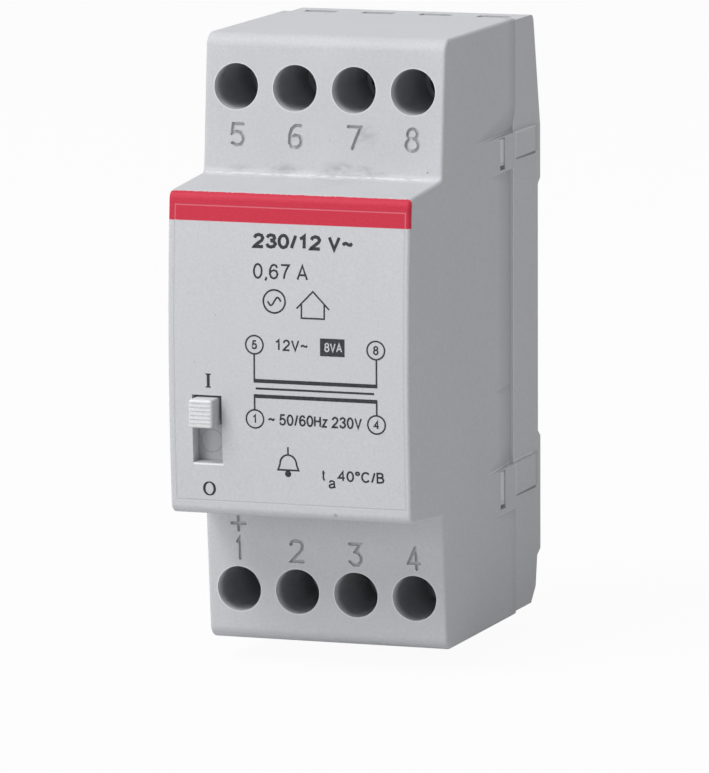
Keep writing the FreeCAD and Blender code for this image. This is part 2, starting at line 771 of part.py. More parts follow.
# Slide switch: its case stands on the slot's collar, and the slider runs
# between the two.
knob_centre = knob_top - d.knob_height / 2
bridge_top = knob_centre + d.bridge_span / 2
bridge_bottom = knob_centre - d.bridge_span / 2
shield_front = d.slot_floor - d.snap_gap
shield_rear = shield_front - d.shield_thickness
bridge_front = d.switch_floor + d.bridge_stand
contact_face = d.switch_floor + d.contact_thickness
contact_split = bridge_top - knob_travel
chamber_half = d.slot_width / 2 - d.slide_gap
chamber_low = bridge_bottom - knob_travel - d.bridge_room


def contact_spans():
    """Upper and lower fixed contacts: plate's span and tail's span in height."""
    upper = (contact_split + 2 * d.bridge_thickness, bridge_top + 4 * d.bridge_thickness)
    lower = (bridge_bottom - knob_travel - 2 * d.bridge_thickness, contact_split - d.bridge_thickness)
    tails = []
    for low, high in (upper, lower):
        middle = (low + high) / 2
        tails.append((middle - d.tail_width / 2, middle + d.tail_width / 2))
    return (("upper", upper, tails[0]), ("lower", lower, tails[1]))


def make_switch():
    body = new_body("switch_body")
    left, right = slot_centre - guide_half, slot_centre + guide_half
    low, high = shield_bottom - knob_travel - d.snap_gap, shield_top + d.tool_over
    block(body, "case", (left, right), (-d.slot_floor, -d.switch_rear), (low, high))
    block(body, "channel", (left + d.switch_rail, right - d.switch_rail),
          (-d.slot_floor - d.tool_over, -(shield_rear - d.snap_gap)),
          (low - d.tool_over, high + d.tool_over),
          cut=True)
    block(body, "chamber", (slot_centre - chamber_half, slot_centre + chamber_half),
          (-d.slot_floor - d.tool_over, -d.switch_floor), (chamber_low, bridge_top + d.bridge_room),
          cut=True)
    half = d.contact_thickness / 2
    plate_half = chamber_half - 4 * d.snap_gap
    leaf_half = plate_half - d.snap_gap
    for name, plate, tail in contact_spans():
        block(body, name + "_tail_hole", (slot_centre - half, slot_centre + half),
              (-d.switch_floor - d.tool_over, -(d.switch_rear - d.tool_over)), tail, cut=True)
    keep(body, "switch_body")

    for name, plate, tail in contact_spans():
        contact = new_body(f"switch_contact_{name}")
        block(contact, "plate", (slot_centre - plate_half, slot_centre + plate_half),
              (-contact_face, -d.switch_floor), plate)
        block(contact, "tail", (slot_centre - half, slot_centre + half),
              (-d.switch_floor - half, -d.contact_tail), tail)
        keep(contact, f"switch_contact_{name}")

    knob = new_body("switch_knob")
    block(knob, "grip", (slot_centre - d.knob_width / 2, slot_centre + d.knob_width / 2),
          (-(d.nose_depth + d.knob_rise), -(shield_front - d.shield_thickness / 2)),
          (knob_top - d.knob_height, knob_top))
    grip_front = -(d.nose_depth + d.knob_rise).value + 0.01
    round_edges(knob, "grip_rounds", d.knob_round,
                lambda e: e.BoundBox.YMin < grip_front and e.BoundBox.YMax < 0)
    grip_pitch = d.knob_height / d.grip_ribs
    grooves = []
    for number in range(1, int(d.grip_ribs.value)):
        middle = knob_top - grip_pitch * number
        grooves.append(rectangle(slot_centre - d.knob_width, slot_centre + d.knob_width,
                                 middle - grip_pitch / 4, middle + grip_pitch / 4))
    extrude(knob, "grooves", "y", -(d.nose_depth + d.knob_rise + d.tool_over),
            -(d.nose_depth + d.knob_rise - d.grip_depth), grooves, cut=True)
    shield_half = d.slot_width / 2 + d.shield_margin
    block(knob, "shield", (slot_centre - shield_half, slot_centre + shield_half),
          (-shield_front, -shield_rear), (shield_bottom, shield_top))
    block(knob, "stem", (slot_centre - chamber_half / 2, slot_centre + chamber_half / 2),
          (-shield_rear, -bridge_front), (knob_centre - d.stem_height / 2,
                                          knob_centre + d.stem_height / 2))
    keep(knob, "switch_knob")

    bridge = new_body("switch_bridge")
    arm = -(contact_face + d.snap_gap)
    leaf = -(bridge_front - d.bridge_thickness)
    inset = d.bridge_thickness
    outline = [(-bridge_front, bridge_top), (arm, bridge_top), (arm, bridge_top - inset),
               (leaf, bridge_top - inset), (leaf, bridge_bottom + inset), (arm, bridge_bottom + inset),
               (arm, bridge_bottom), (-bridge_front, bridge_bottom)]
    extrude(bridge, "leaf", "x", slot_centre - leaf_half, slot_centre + leaf_half, [outline])
    keep(bridge, "switch_bridge")


# Transformer: laminated E and I stacks round a two-chamber former.
tube_x = d.core_stack / 2 + d.former_gap
tube_z = d.core_limb + d.former_gap
wound_x = tube_x + d.former_wall
wound_z = tube_z + d.former_wall
former_half_height = d.core_height / 2 - d.core_limb - d.coil_gap
winding_room = former_half_height - wound_z - d.tape_thickness
primary_build = winding_room - d.primary_slack
secondary_build = winding_room - d.secondary_slack
chambers = (former_rear + d.former_wall, former_rear + d.former_wall + d.primary_length,
            former_rear + d.former_wall + d.primary_length + d.chamber_wall, former_front - d.former_wall)
pin_x = PLACES[-1] * d.pitch
pin_depth = former_front - d.rail_thick / 2
pin_height = former_half_height + d.rail_reach / 2


def make_core():
    half = d.core_height / 2
    rear, back, mouth = -d.core_rear, -(d.core_rear + d.core_limb), -(core_front - d.core_limb)
    stack = new_body("core_e_stack")
    outline = [(rear, -half), (rear, half), (mouth, half), (mouth, half - d.core_limb),
               (back, half - d.core_limb), (back, d.core_limb), (mouth, d.core_limb),
               (mouth, -d.core_limb),
               (back, -d.core_limb), (back, d.core_limb - half), (mouth, d.core_limb - half),
               (mouth, -half)]
    extrude(stack, "laminations", "x", -d.core_stack / 2, d.core_stack / 2, [outline])
    keep(stack, "core_e_stack")
    yoke = new_body("core_i_stack")
    extrude(yoke, "laminations", "x", -d.core_stack / 2, d.core_stack / 2,
            [rectangle(-core_front, mouth, -half, half)])
    keep(yoke, "core_i_stack")


def make_former():
    body = new_body("bobbin")
    bore = rectangle(-tube_x, tube_x, -tube_z, tube_z)
    flange = rectangle(-d.former_half_width, d.former_half_width, -former_half_height,
                       former_half_height)
    extrude(body, "tube", "y", -former_front, -former_rear,
            [rounded(wound_x, wound_z, d.former_gap), bore])
    for name, near, far in (("rear_flange", former_rear, chambers[0]),
                            ("middle_flange", chambers[1], chambers[2]),
                            ("front_flange", chambers[3], former_front)):
        extrude(body, name, "y", -far, -near, [flange, bore])
    block(body, "pin_rails", (wound_x, d.former_half_width),
          (-former_front, -(former_front - d.rail_thick)),
          (former_half_height - d.tape_thickness, former_half_height + d.rail_reach), twin="xz")
    half = d.pin_side / 2
    block(body, "upper_pin_holes", (pin_x - half, pin_x + half),
          (-(pin_depth + half), -(pin_depth - half)),
          (pin_height, former_half_height + d.rail_reach + d.tool_over), cut=True, twin="x")
    block(body, "front_pin_hole", (pin_x - half, pin_x + half),
          (-former_front - d.tool_over, -(former_front - d.rail_thick) - half),
          (-(pin_height + half), -(pin_height - half)), cut=True)
    keep(body, "bobbin")

    pins = []
    for name, side in (("left", -1), ("right", 1)):
        pins.append(box_solid(name + "_pin", (side * pin_x - half, side * pin_x + half),
                              (-(pin_depth + half), -(pin_depth - half)),
                              (pin_height, former_half_height + d.rail_reach + d.pin_length)))
    pins.append(box_solid("front_pin", (pin_x - half, pin_x + half),
                          (-(former_front + d.pin_length), -(former_front - d.rail_thick) - half),
                          (-(pin_height + half), -(pin_height - half))))
    group = doc.addObject("Part::Compound", "pins")
    group.Links = pins
    keep(group, "bobbin_pins")


def make_windings():
    """Each winding fills its chamber, with a tape wrapped round it."""
    for name, near, far, build in (("primary", chambers[0], chambers[1], primary_build),
                                   ("secondary", chambers[2], chambers[3], secondary_build)):
        inside = rounded(wound_x, wound_z, d.former_gap)
        outside = rounded(wound_x + build, wound_z + build, d.former_gap + build)
        over_tape = build + d.tape_thickness
        wrapped = rounded(wound_x + over_tape, wound_z + over_tape, d.former_gap + over_tape)
        winding = new_body(f"{name}_winding")
        extrude(winding, "turns", "y", -far, -near, [outside, inside])
        keep(winding, f"{name}_winding")
        tape = new_body(f"{name}_tape")
        extrude(tape, "wrap", "y", -far, -near, [wrapped, outside])
        keep(tape, f"{name}_tape")

    cutout = new_body("thermal_cutout")
    face = wound_x + primary_build + d.tape_thickness
    middle = (chambers[0] + chambers[1]) / 2
    block(cutout, "case", (face, face + d.cutout_thickness),
          (-(middle + d.cutout_width / 2), -(middle - d.cutout_width / 2)),
          (-d.cutout_length / 2, d.cutout_length / 2))
    keep(cutout, "thermal_cutout")


BEND_SHARE = 0.45


def make_lead(label, points):
    """A round lead along straight runs joined by tangent arcs.

    Each arc's tangent length is a share of the shorter run beside it.
    """
    points = [Vector(*[size(value).value for value in point]) for point in points]
    edges = []
    last = points[0]
    for before, point, after in zip(points, points[1:], points[2:]):
        incoming = (point - before).normalize()
        outgoing = (after - point).normalize()
        shorter = min((point - before).Length, (after - point).Length)
        reach = BEND_SHARE * shorter
        half_turn = incoming.getAngle(outgoing) / 2
        radius = reach / math.tan(half_turn)
        start = point - incoming * reach
        end = point + outgoing * reach
        middle = point + (outgoing - incoming).normalize() * (radius / math.cos(half_turn) - radius)
        edges.append(Part.LineSegment(last, start).toShape())
        edges.append(Part.Arc(start, middle, end).toShape())
        last = end
    edges.append(Part.LineSegment(last, points[-1]).toShape())
    path = Part.Wire(edges)
    heading = points[1] - points[0]
    ring = Part.Wire([Part.Circle(points[0], heading, d.lead_diameter.value / 2).toShape()])
    tube = path.makePipeShell([ring], True, False)
    lead = doc.addObject("Part::Feature", label)
    lead.Shape = tube
    keep(lead, label)


def make_leads():
    """The five insulated leads, each from one metal face to another."""
    tag = row_end - d.bar_tag / 2
    tail_mid = (d.switch_rear + d.contact_tail) / 2
    (_, _, upper_tail), (_, _, lower_tail) = contact_spans()
    upper_z = (upper_tail[0] + upper_tail[1]) / 2
    lower_z = (lower_tail[0] + lower_tail[1]) / 2
    pin_tip = former_half_height + d.rail_reach + d.pin_length
    for number, side in (("5", -1), ("8", 1)):
        x = side * pin_x
        make_lead(f"lead_secondary_{number}",
                  [(x, -pin_depth, pin_tip), (x, -pin_depth, tag), (x, -d.bar_front, tag)])
    make_lead("lead_line_in", [
        (-pin_x, -d.bar_front, -tag), (-pin_x, -former_front, -tag),
        (slot_centre, -(former_front + d.pin_length + d.lead_diameter), lower_z),
        (slot_centre, -d.contact_tail, lower_z)])
    tail_side = slot_centre + d.contact_thickness / 2
    tip = former_front + d.pin_length
    make_lead("lead_switched", [
        (tail_side, -tail_mid, upper_z), (tail_side + d.switched_run, -tail_mid, upper_z),
        (pin_x, -tail_mid, -pin_height), (pin_x, -tip, -pin_height)])
    cutout_x = wound_x + primary_build + d.tape_thickness + d.cutout_thickness / 2
    cutout_y = (chambers[0] + chambers[1]) / 2
    end = row_end - d.bar_tag
    make_lead("lead_neutral", [
        (cutout_x, -cutout_y, -d.cutout_length / 2),
        (cutout_x, -cutout_y, -d.cutout_length / 2 - d.neutral_drop),
        (pin_x, -(d.bar_front + bar_rear) / 2, -(end - d.neutral_drop)),
        (pin_x, -(d.bar_front + bar_rear) / 2, -end)])


make_front_housing()
make_rear_base()
make_rail_clip()
make_spring()
for number, (place, side) in TERMINALS.items():
    make_terminal(number, place, side)
make_switch()
make_core()
make_former()
make_windings()
make_leads()
doc.recompute()

for item in doc.Objects:
    if "Invalid" in item.State or "Error" in item.State:
        raise RuntimeError(f"{item.Label} failed: {item.State}")
for item in parts:
    if item.Shape.isNull() or not item.Shape.isValid():
        raise RuntimeError(f"{item.Label} has no valid shape")

os.makedirs("parts", exist_ok=True)
for item in parts:
    item.Shape.exportStep(f"parts/{item.Label}.step")
print(len(parts), "sub-parts written")
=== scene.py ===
import math

import bmesh
import bpy
import numpy as np
from mathutils import Matrix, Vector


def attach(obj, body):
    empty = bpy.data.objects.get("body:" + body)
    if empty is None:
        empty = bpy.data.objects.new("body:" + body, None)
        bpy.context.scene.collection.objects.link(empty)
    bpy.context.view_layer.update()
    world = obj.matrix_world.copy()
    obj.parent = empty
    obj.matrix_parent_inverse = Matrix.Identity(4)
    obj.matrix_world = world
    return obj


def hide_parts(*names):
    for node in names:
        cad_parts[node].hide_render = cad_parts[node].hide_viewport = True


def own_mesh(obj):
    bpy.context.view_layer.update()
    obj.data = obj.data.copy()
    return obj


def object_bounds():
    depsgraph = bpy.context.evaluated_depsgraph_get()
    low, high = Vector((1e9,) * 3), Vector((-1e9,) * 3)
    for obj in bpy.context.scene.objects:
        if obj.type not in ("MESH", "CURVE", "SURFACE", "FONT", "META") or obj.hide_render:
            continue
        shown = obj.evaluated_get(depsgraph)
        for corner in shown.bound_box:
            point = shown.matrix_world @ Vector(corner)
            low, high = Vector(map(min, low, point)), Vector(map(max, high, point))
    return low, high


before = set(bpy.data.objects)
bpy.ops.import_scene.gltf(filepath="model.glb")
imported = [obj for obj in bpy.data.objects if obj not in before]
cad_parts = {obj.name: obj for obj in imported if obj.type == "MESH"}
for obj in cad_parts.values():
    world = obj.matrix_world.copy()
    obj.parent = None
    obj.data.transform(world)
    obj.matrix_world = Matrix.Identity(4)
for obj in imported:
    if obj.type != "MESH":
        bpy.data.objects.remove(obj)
cad_low, cad_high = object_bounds()

# Front housing: the light grey hood of polycarbonate, moulded in one piece with
# a spark-eroded skin. It snaps over the base's tongues; its terminal numbers are
# moulded in, and a red band is foil-stamped along the top of the nose.
MM = 0.001
NOSE_DEPTH = 57.5 * MM
NOSE_RADIUS = 285 * MM
SHOULDER_DEPTH = 41.5 * MM
SHOULDER_SLOPE = math.tan(math.radians(4.5))
HALF_HEIGHT = 42.5 * MM
WELL_PITCH = 8.6 * MM
WELL_ROW = 35.2 * MM
BAND_FOOT = 18.27 * MM
# Where the colour changes, painted light and shade among it, and the size of its grain, in millimetres
WELL_MOUTH = 3.27
WELL_LIP = -41.0
NUMBER_ROW = 28.15
NOSE_ROOT = 23.3
SLOT_MIDDLE = -11.75
SLOT_FOOT = -15.3
SPLIT = -11.0
SIDE_FROM = 16.2
SKIN_GRAIN = 0.34
HOUSING_GREY = "CBCCD0"
HOUSING_DEEP = "C2C3C7"
BAND_RED = "BE1835"
BAND_PALE = "CC3049"
# Pale painted highlight on edges that catch the light
EDGE_HIGHLIGHT = "F4F5F6"
# Grey painted shade in hollows, grooves and on flanks turned from the light
SHADE_GREY = "85878B"
# Dark grey of handling smudges, also used for a faint painted shade
SMUDGE_AND_SHADE = "6E7074"


def linear(code):
    """An sRGB hex colour in linear light: ((c + 0.055) / 1.055) to the 2.4, or c / 12.92 when dark."""
    srgb = np.array([int(code[i:i + 2], 16) for i in (0, 2, 4)]) / 255
    light = np.where(srgb > 0.04045, ((srgb + 0.055) / 1.055) ** 2.4, srgb / 12.92)
    return (*light.tolist(), 1.0)


def add(tree, kind, settings=None, inputs=None, out=0):
    """Adds one node, sets its properties, fills or links its inputs, and returns one of its outputs
    if it has any."""
    node = tree.nodes.new(kind)
    for name, value in (settings or {}).items():
        setattr(node, name, value)
    for key, value in (inputs or {}).items():
        if isinstance(value, bpy.types.NodeSocket):
            tree.links.new(value, node.inputs[key])
        else:
            node.inputs[key].default_value = value
    return node.outputs[out] if node.outputs else node


def blank(name):
    """A named material with an empty node tree, and that tree."""
    material = bpy.data.materials.new(name)
    material.use_nodes = True
    material.node_tree.nodes.clear()
    return material, material.node_tree


def moulded_skin(tree, pale, deep, grain_mm):
    """The skin of a moulded part: slow cloudy tone over a fine spark-eroded grain. Gives position,
    colour and height sockets. The real grain is about 0.1 mm; it is drawn as coarse as it shows."""
    place = add(tree, "ShaderNodeTexCoord", out="Object")
    cloud = add(tree, "ShaderNodeTexNoise",
                inputs={"Vector": place, "Scale": 1 / (14 * MM), "Detail": 3.0})
    grain = add(tree, "ShaderNodeTexNoise",
                inputs={"Vector": place, "Scale": 1 / (grain_mm * MM), "Detail": 2.0, "Roughness": 0.6})
    tone = add(tree, "ShaderNodeMath", {"operation": "MULTIPLY_ADD"}, {0: grain, 1: 2.2, 2: -0.87})
    tone = add(tree, "ShaderNodeMath", {"operation": "MULTIPLY_ADD"}, {0: cloud, 1: 0.5, 2: tone})
    colour = add(tree, "ShaderNodeMix", {"data_type": "RGBA"},
                 {0: tone, 6: linear(pale), 7: linear(deep)}, out=2)
    return place, colour, grain


def plastic(tree, colour, grain, roughness, ior, depth_mm, height=None, shine=0.5):
    """A principled plastic, its bump from the height or else the grain, ended by the output node."""
    lift = grain if height is None else height
    normal = add(tree, "ShaderNodeBump",
                 inputs={"Strength": 0.5, "Distance": depth_mm * MM, "Height": lift})
    gloss = add(tree, "ShaderNodeMapRange", inputs={0: grain, 3: roughness - 0.06, 4: roughness + 0.06})
    shader = add(tree, "ShaderNodeBsdfPrincipled",
                 inputs={"Base Color": colour, "Roughness": gloss, "IOR": ior,
                         "Specular IOR Level": shine, "Normal": normal})
    add(tree, "ShaderNodeOutputMaterial", inputs={"Surface": shader})


def by_distance(tree, value, middle, core, edge, inside=1.0, outside=0.0):
    """A mask by the distance |value - middle| in millimetres: inside up to core, outside past edge."""
    away = add(tree, "ShaderNodeMath", {"operation": "SUBTRACT"}, {0: value, 1: middle * MM})
    away = add(tree, "ShaderNodeMath", {"operation": "ABSOLUTE"}, {0: away})
    return add(tree, "ShaderNodeMapRange",
               inputs={0: away, 1: core * MM, 2: edge * MM, 3: inside, 4: outside})


def laid_over(tree, colour, finish, *masks):
    """A finish laid over a colour where every mask lets it: its share is the product of the masks."""
    share = masks[0]
    for mask in masks[1:]:
        share = add(tree, "ShaderNodeMath", {"operation": "MULTIPLY"}, {0: share, 1: mask})
    return add(tree, "ShaderNodeMix", {"data_type": "RGBA"}, {0: share, 6: colour, 7: finish}, out=2)


def nose_front(z):
    """The nose's bowed front, y = -(depth - (R - root(R squared - z squared)))."""
    return -(NOSE_DEPTH - (NOSE_RADIUS - np.sqrt(NOSE_RADIUS ** 2 - z ** 2)))


def shoulder_front(z):
    """The shoulders' sloped front, deeper towards the nose: y = -(depth + slope (half height - |z|))."""
    return -(SHOULDER_DEPTH + SHOULDER_SLOPE * (HALF_HEIGHT - np.abs(z)))


def carried(path, profile, surface, closed=False, scale=None):
    """A closed tube: a profile (across, outwards) carried along a path (x, z) that lies on surface(z).
    Across is along the mitred normal of the path, so vertex = path + normal * across - Y * outwards.
    The mitre of a sharp bend is held to 1 / 0.45."""
    path = np.asarray(path, float)
    profile = np.asarray(profile, float)
    scale = np.ones(len(path)) if scale is None else np.asarray(scale, float)
    if closed:
        before, after = np.roll(path, 1, axis=0), np.roll(path, -1, axis=0)
    else:
        before = np.vstack([2 * path[0] - path[1], path[:-1]])
        after = np.vstack([path[1:], 2 * path[-1] - path[-2]])
    back, ahead = path - before, after - path
    back /= np.linalg.norm(back, axis=1)[:, None]
    ahead /= np.linalg.norm(ahead, axis=1)[:, None]
    along = back + ahead
    along /= np.linalg.norm(along, axis=1)[:, None]
    normal = np.stack([-along[:, 1], along[:, 0]], axis=1)
    lean = np.abs((normal * np.stack([-back[:, 1], back[:, 0]], axis=1)).sum(axis=1))
    mitre = 1 / np.clip(lean, 0.45, 1)
    across = profile[None, :, 0] * (scale * mitre)[:, None]
    x = path[:, None, 0] + normal[:, None, 0] * across
    z = path[:, None, 1] + normal[:, None, 1] * across
    y = surface(z) - profile[None, :, 1] * scale[:, None]
    points = np.stack([x, y, z], axis=2).reshape(-1, 3)
    rows, count = len(path), len(profile)
    steps = np.arange(rows if closed else rows - 1)
    i, j = np.meshgrid(steps, np.arange(count), indexing="ij")
    i2, j2 = (i + 1) % rows, (j + 1) % count
    faces = np.stack([i * count + j, i * count + j2, i2 * count + j2, i2 * count + j], axis=2)
    faces = faces.reshape(-1, 4).tolist()
    if not closed:
        faces.append(list(range(count))[::-1])
        faces.append([(rows - 1) * count + k for k in range(count)])
    return points, faces


def placed(name, data):
    """A new object of this data in the scene, at the origin."""
    thing = bpy.data.objects.new(name, data)
    bpy.context.scene.collection.objects.link(thing)
    return thing


def joined(name, parts):
    """One mesh object of several (points, faces), with all faces turned outwards."""
    mesh = bpy.data.meshes.new(name)
    offsets = np.cumsum([0] + [len(points) for points, group in parts])
    faces = [[int(offset + k) for k in face]
             for offset, (points, group) in zip(offsets, parts) for face in group]
    mesh.from_pydata(np.vstack([points for points, group in parts]).tolist(), [], faces)
    work = bmesh.new()
    work.from_mesh(mesh)
    bmesh.ops.recalc_face_normals(work, faces=work.faces)
    work.to_mesh(mesh)
    work.free()
    return placed(name, mesh)


def ellipse(x, z, half_x, half_z, count=28, start=0.0, turn=1.0):
    """Points (x + a cos t, z + b sin t) for part of a turn."""
    angle = 2 * math.pi * (start + turn * np.arange(count) / (count if turn == 1.0 else count - 1))
    return np.stack([x + half_x * np.cos(angle), z + half_z * np.sin(angle)], axis=1)


# The strokes of each engraved sign in its own box, half a unit either side of
# the middle and one unit high, as (points, closed)
ENGRAVED = {
    "1": [([(-0.16, 0.82), (0.06, 1.0), (0.06, 0.0)], False)],
    "2": [([(-0.48, 0.80), (-0.36, 0.95), (0.0, 1.0), (0.36, 0.95), (0.47, 0.78), (0.40, 0.58),
            (0.05, 0.33), (-0.46, 0.0), (0.5, 0.0)], False)],
    "3": [([(-0.46, 1.0), (0.42, 1.0), (-0.02, 0.62), (0.26, 0.58), (0.47, 0.38), (0.46, 0.18),
            (0.22, 0.01), (-0.16, 0.0), (-0.47, 0.15)], False)],
    "4": [([(0.12, 1.0), (-0.48, 0.28), (0.5, 0.28)], False),
          ([(0.12, 1.0), (0.2, 0.6), (0.22, 0.0)], False)],
    "5": [([(0.44, 1.0), (-0.36, 1.0), (-0.42, 0.56), (-0.08, 0.64), (0.24, 0.60), (0.46, 0.42),
            (0.48, 0.24), (0.3, 0.05), (-0.06, 0.0), (-0.42, 0.1)], False)],
    "6": [([(0.42, 1.0), (-0.02, 1.0), (-0.30, 0.86), (-0.46, 0.58), (-0.46, 0.2), (-0.26, 0.02),
            (0.18, 0.0), (0.44, 0.14), (0.48, 0.34), (0.32, 0.52), (-0.02, 0.56),
            (-0.4, 0.44)], False)],
    "7": [([(-0.5, 1.0), (0.5, 1.0), (0.08, 0.36), (-0.12, 0.0)], False)],
    "8": [(ellipse(0.0, 0.77, 0.37, 0.23, 16).tolist(), True),
          (ellipse(0.0, 0.28, 0.47, 0.28, 18).tolist(), True)],
    "+": [([(-0.5, 0.5), (0.5, 0.5)], False), ([(0.0, 1.0), (0.0, 0.0)], False)],
}
# Each sign's middle x, foot z, width and height of its centre line in millimetres
SIGNS = [("5", -12.54, 27.12, 1.85, 2.9), ("6", -4.06, 27.07, 1.8, 3.0), ("7", 4.52, 27.18, 1.85, 3.0),
         ("8", 12.98, 27.14, 1.9, 3.05), ("+", -12.68, -26.82, 2.0, 1.95), ("1", -12.72, -30.9, 1.5, 2.95),
         ("2", -4.18, -30.86, 1.8, 2.95), ("3", 4.42, -30.9, 1.8, 2.95), ("4", 12.99, -31.05, 1.65, 3.05)]
# The groove's section, (across, outwards) from the face
GROOVE = np.array([(-0.26, 0.2), (-0.2, -0.3), (-0.1, -0.4), (0.1, -0.4), (0.2, -0.3), (0.26, 0.2)]) * MM
# How far a stroke runs on to its narrowed end, in millimetres
ROUND_END = 0.2
strokes = []
for sign, middle, foot, width, height in SIGNS:
    for points, closed in ENGRAVED[sign]:
        line = np.array(points) * (width, height) + (middle, foot)
        ends = None
        if not closed:
            first, last = line[0] - line[1], line[-1] - line[-2]
            line = np.vstack([line[0] + ROUND_END * first / np.linalg.norm(first), line,
                              line[-1] + ROUND_END * last / np.linalg.norm(last)])
            ends = [0.5] + [1.0] * (len(line) - 2) + [0.5]
        strokes.append(carried(line * MM, GROOVE, shoulder_front, closed, ends))
cutter = joined("engraving_tool", strokes)

hood = placed("moulded_hood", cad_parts["front_housing"].data.copy())
work = bmesh.new()
work.from_mesh(hood.data)
bmesh.ops.remove_doubles(work, verts=work.verts, dist=0.002 * MM)
bmesh.ops.dissolve_degenerate(work, edges=work.edges, dist=0.001 * MM)
work.to_mesh(hood.data)
work.free()
carve = hood.modifiers.new("engraved_numbers", "BOOLEAN")
carve.operation = "DIFFERENCE"
carve.solver = "EXACT"
carve.use_self = True
carve.object = cutter
carved = bpy.data.meshes.new_from_object(hood.evaluated_get(bpy.context.evaluated_depsgraph_get()))
hood.modifiers.clear()
hood.data = carved
bpy.data.objects.remove(cutter)


def even_shading(mesh, turn=28):
    """Corner normals that keep flats flat: each corner takes the mean of the faces round its vertex
    that turn less than so many degrees from its own, weighted by the whole area of the flat they lie
    in. Faces lie in one flat when their normals agree to 1 / 300 and their planes to 0.02 mm."""
    faces, corners = len(mesh.polygons), len(mesh.loops)
    normals, centres = np.empty(faces * 3), np.empty(faces * 3)
    areas, counts = np.empty(faces), np.empty(faces, int)
    vertex = np.empty(corners, int)
    mesh.polygons.foreach_get("normal", normals)
    mesh.polygons.foreach_get("center", centres)
    mesh.polygons.foreach_get("area", areas)
    mesh.polygons.foreach_get("loop_total", counts)
    mesh.loops.foreach_get("vertex_index", vertex)
    normals, centres = normals.reshape(-1, 3), centres.reshape(-1, 3)
    offset = (normals * centres).sum(axis=1)
    plane = np.column_stack([np.round(normals * 300), np.round(offset / (0.02 * MM))])
    flat = np.unique(plane, axis=0, return_inverse=True)[1].reshape(-1)
    weight = np.bincount(flat, areas)[flat]
    face = np.repeat(np.arange(faces), counts)
    order = np.argsort(vertex, kind="stable")
    shared = np.bincount(vertex)
    first = np.cumsum(shared) - shared
    times = shared[vertex]
    mine = np.repeat(np.arange(corners), times)
    step = np.arange(times.sum()) - np.repeat(np.cumsum(times) - times, times)
    other = order[first[vertex[mine]] + step]
    close = (normals[face[mine]] * normals[face[other]]).sum(axis=1) > math.cos(math.radians(turn))
    mine, other = mine[close], other[close]
    total = np.zeros((corners, 3))
    np.add.at(total, mine, normals[face[other]] * weight[face[other], None])
    length = np.linalg.norm(total, axis=1)[:, None]
    total /= np.where(length > 0, length, 1)
    mesh.shade_smooth()
    mesh.normals_split_custom_set(total.tolist())


even_shading(hood.data)

# Injection-moulded light grey polycarbonate, spark-eroded: matt, with a fine
# even grain. It shows a little more through the foil of the red band.
hood_skin, tree = blank("grey_polycarbonate_spark_eroded_printed")
place, colour, grain = moulded_skin(tree, HOUSING_GREY, HOUSING_DEEP, SKIN_GRAIN)
x, y, z = (add(tree, "ShaderNodeSeparateXYZ", inputs={0: place}, out=axis) for axis in "XYZ")
# Depth behind the nose's bowed front: y + nose depth - z squared / (2 * radius)
bow = add(tree, "ShaderNodeMath", {"operation": "MULTIPLY"}, {0: z, 1: z})
behind = add(tree, "ShaderNodeMath", {"operation": "MULTIPLY_ADD"},
             {0: bow, 1: -1 / (2 * NOSE_RADIUS), 2: y})
behind = add(tree, "ShaderNodeMath", {"operation": "ADD"}, {0: behind, 1: NOSE_DEPTH})
# The band is wrapped over the nose's upper edge and ends there slightly ragged
ragged = add(tree, "ShaderNodeMath", {"operation": "MULTIPLY_ADD"}, {0: grain, 1: 0.35 * MM, 2: behind})
wrap = add(tree, "ShaderNodeMapRange", inputs={0: ragged, 1: 0.75 * MM, 2: 0.85 * MM, 3: 1.0, 4: 0.0})
rise = add(tree, "ShaderNodeMapRange", inputs={0: z, 1: BAND_FOOT, 2: BAND_FOOT + 0.08 * MM})
band = add(tree, "ShaderNodeMath", {"operation": "MULTIPLY"}, {0: wrap, 1: rise})
red = laid_over(tree, linear(BAND_RED), linear(BAND_PALE), grain)
colour = laid_over(tree, colour, red, band)
# The fine parting line of the mould insert: a rectangle round the label field,
# by its middle and half size in millimetres, first across and then up
beyond = []
for along, middle, half in ((x, 0.15, 16.65), (z, 0.03, 20.42)):
    off = add(tree, "ShaderNodeMath", {"operation": "SUBTRACT"}, {0: along, 1: middle * MM})
    off = add(tree, "ShaderNodeMath", {"operation": "ABSOLUTE"}, {0: off})
    beyond.append(add(tree, "ShaderNodeMath", {"operation": "SUBTRACT"}, {0: off, 1: half * MM}))
edge = add(tree, "ShaderNodeMath", {"operation": "MAXIMUM"}, {0: beyond[0], 1: beyond[1]})
line = by_distance(tree, edge, 0.0, 0.04, 0.13)
near = add(tree, "ShaderNodeMapRange", inputs={0: behind, 1: 1.0 * MM, 2: 1.1 * MM, 3: 1.0, 4: 0.0})
line = add(tree, "ShaderNodeMath", {"operation": "MULTIPLY"}, {0: line, 1: near})
# Painted shade of the groove darkens the line on the grey, and in the red band the line is the pale bare
# gap in the foil
groove_shade_and_gap = laid_over(tree, linear("B2B4B8"), linear("EE93A0"), band)
colour = laid_over(tree, colour, groove_shade_and_gap, line, 0.4)
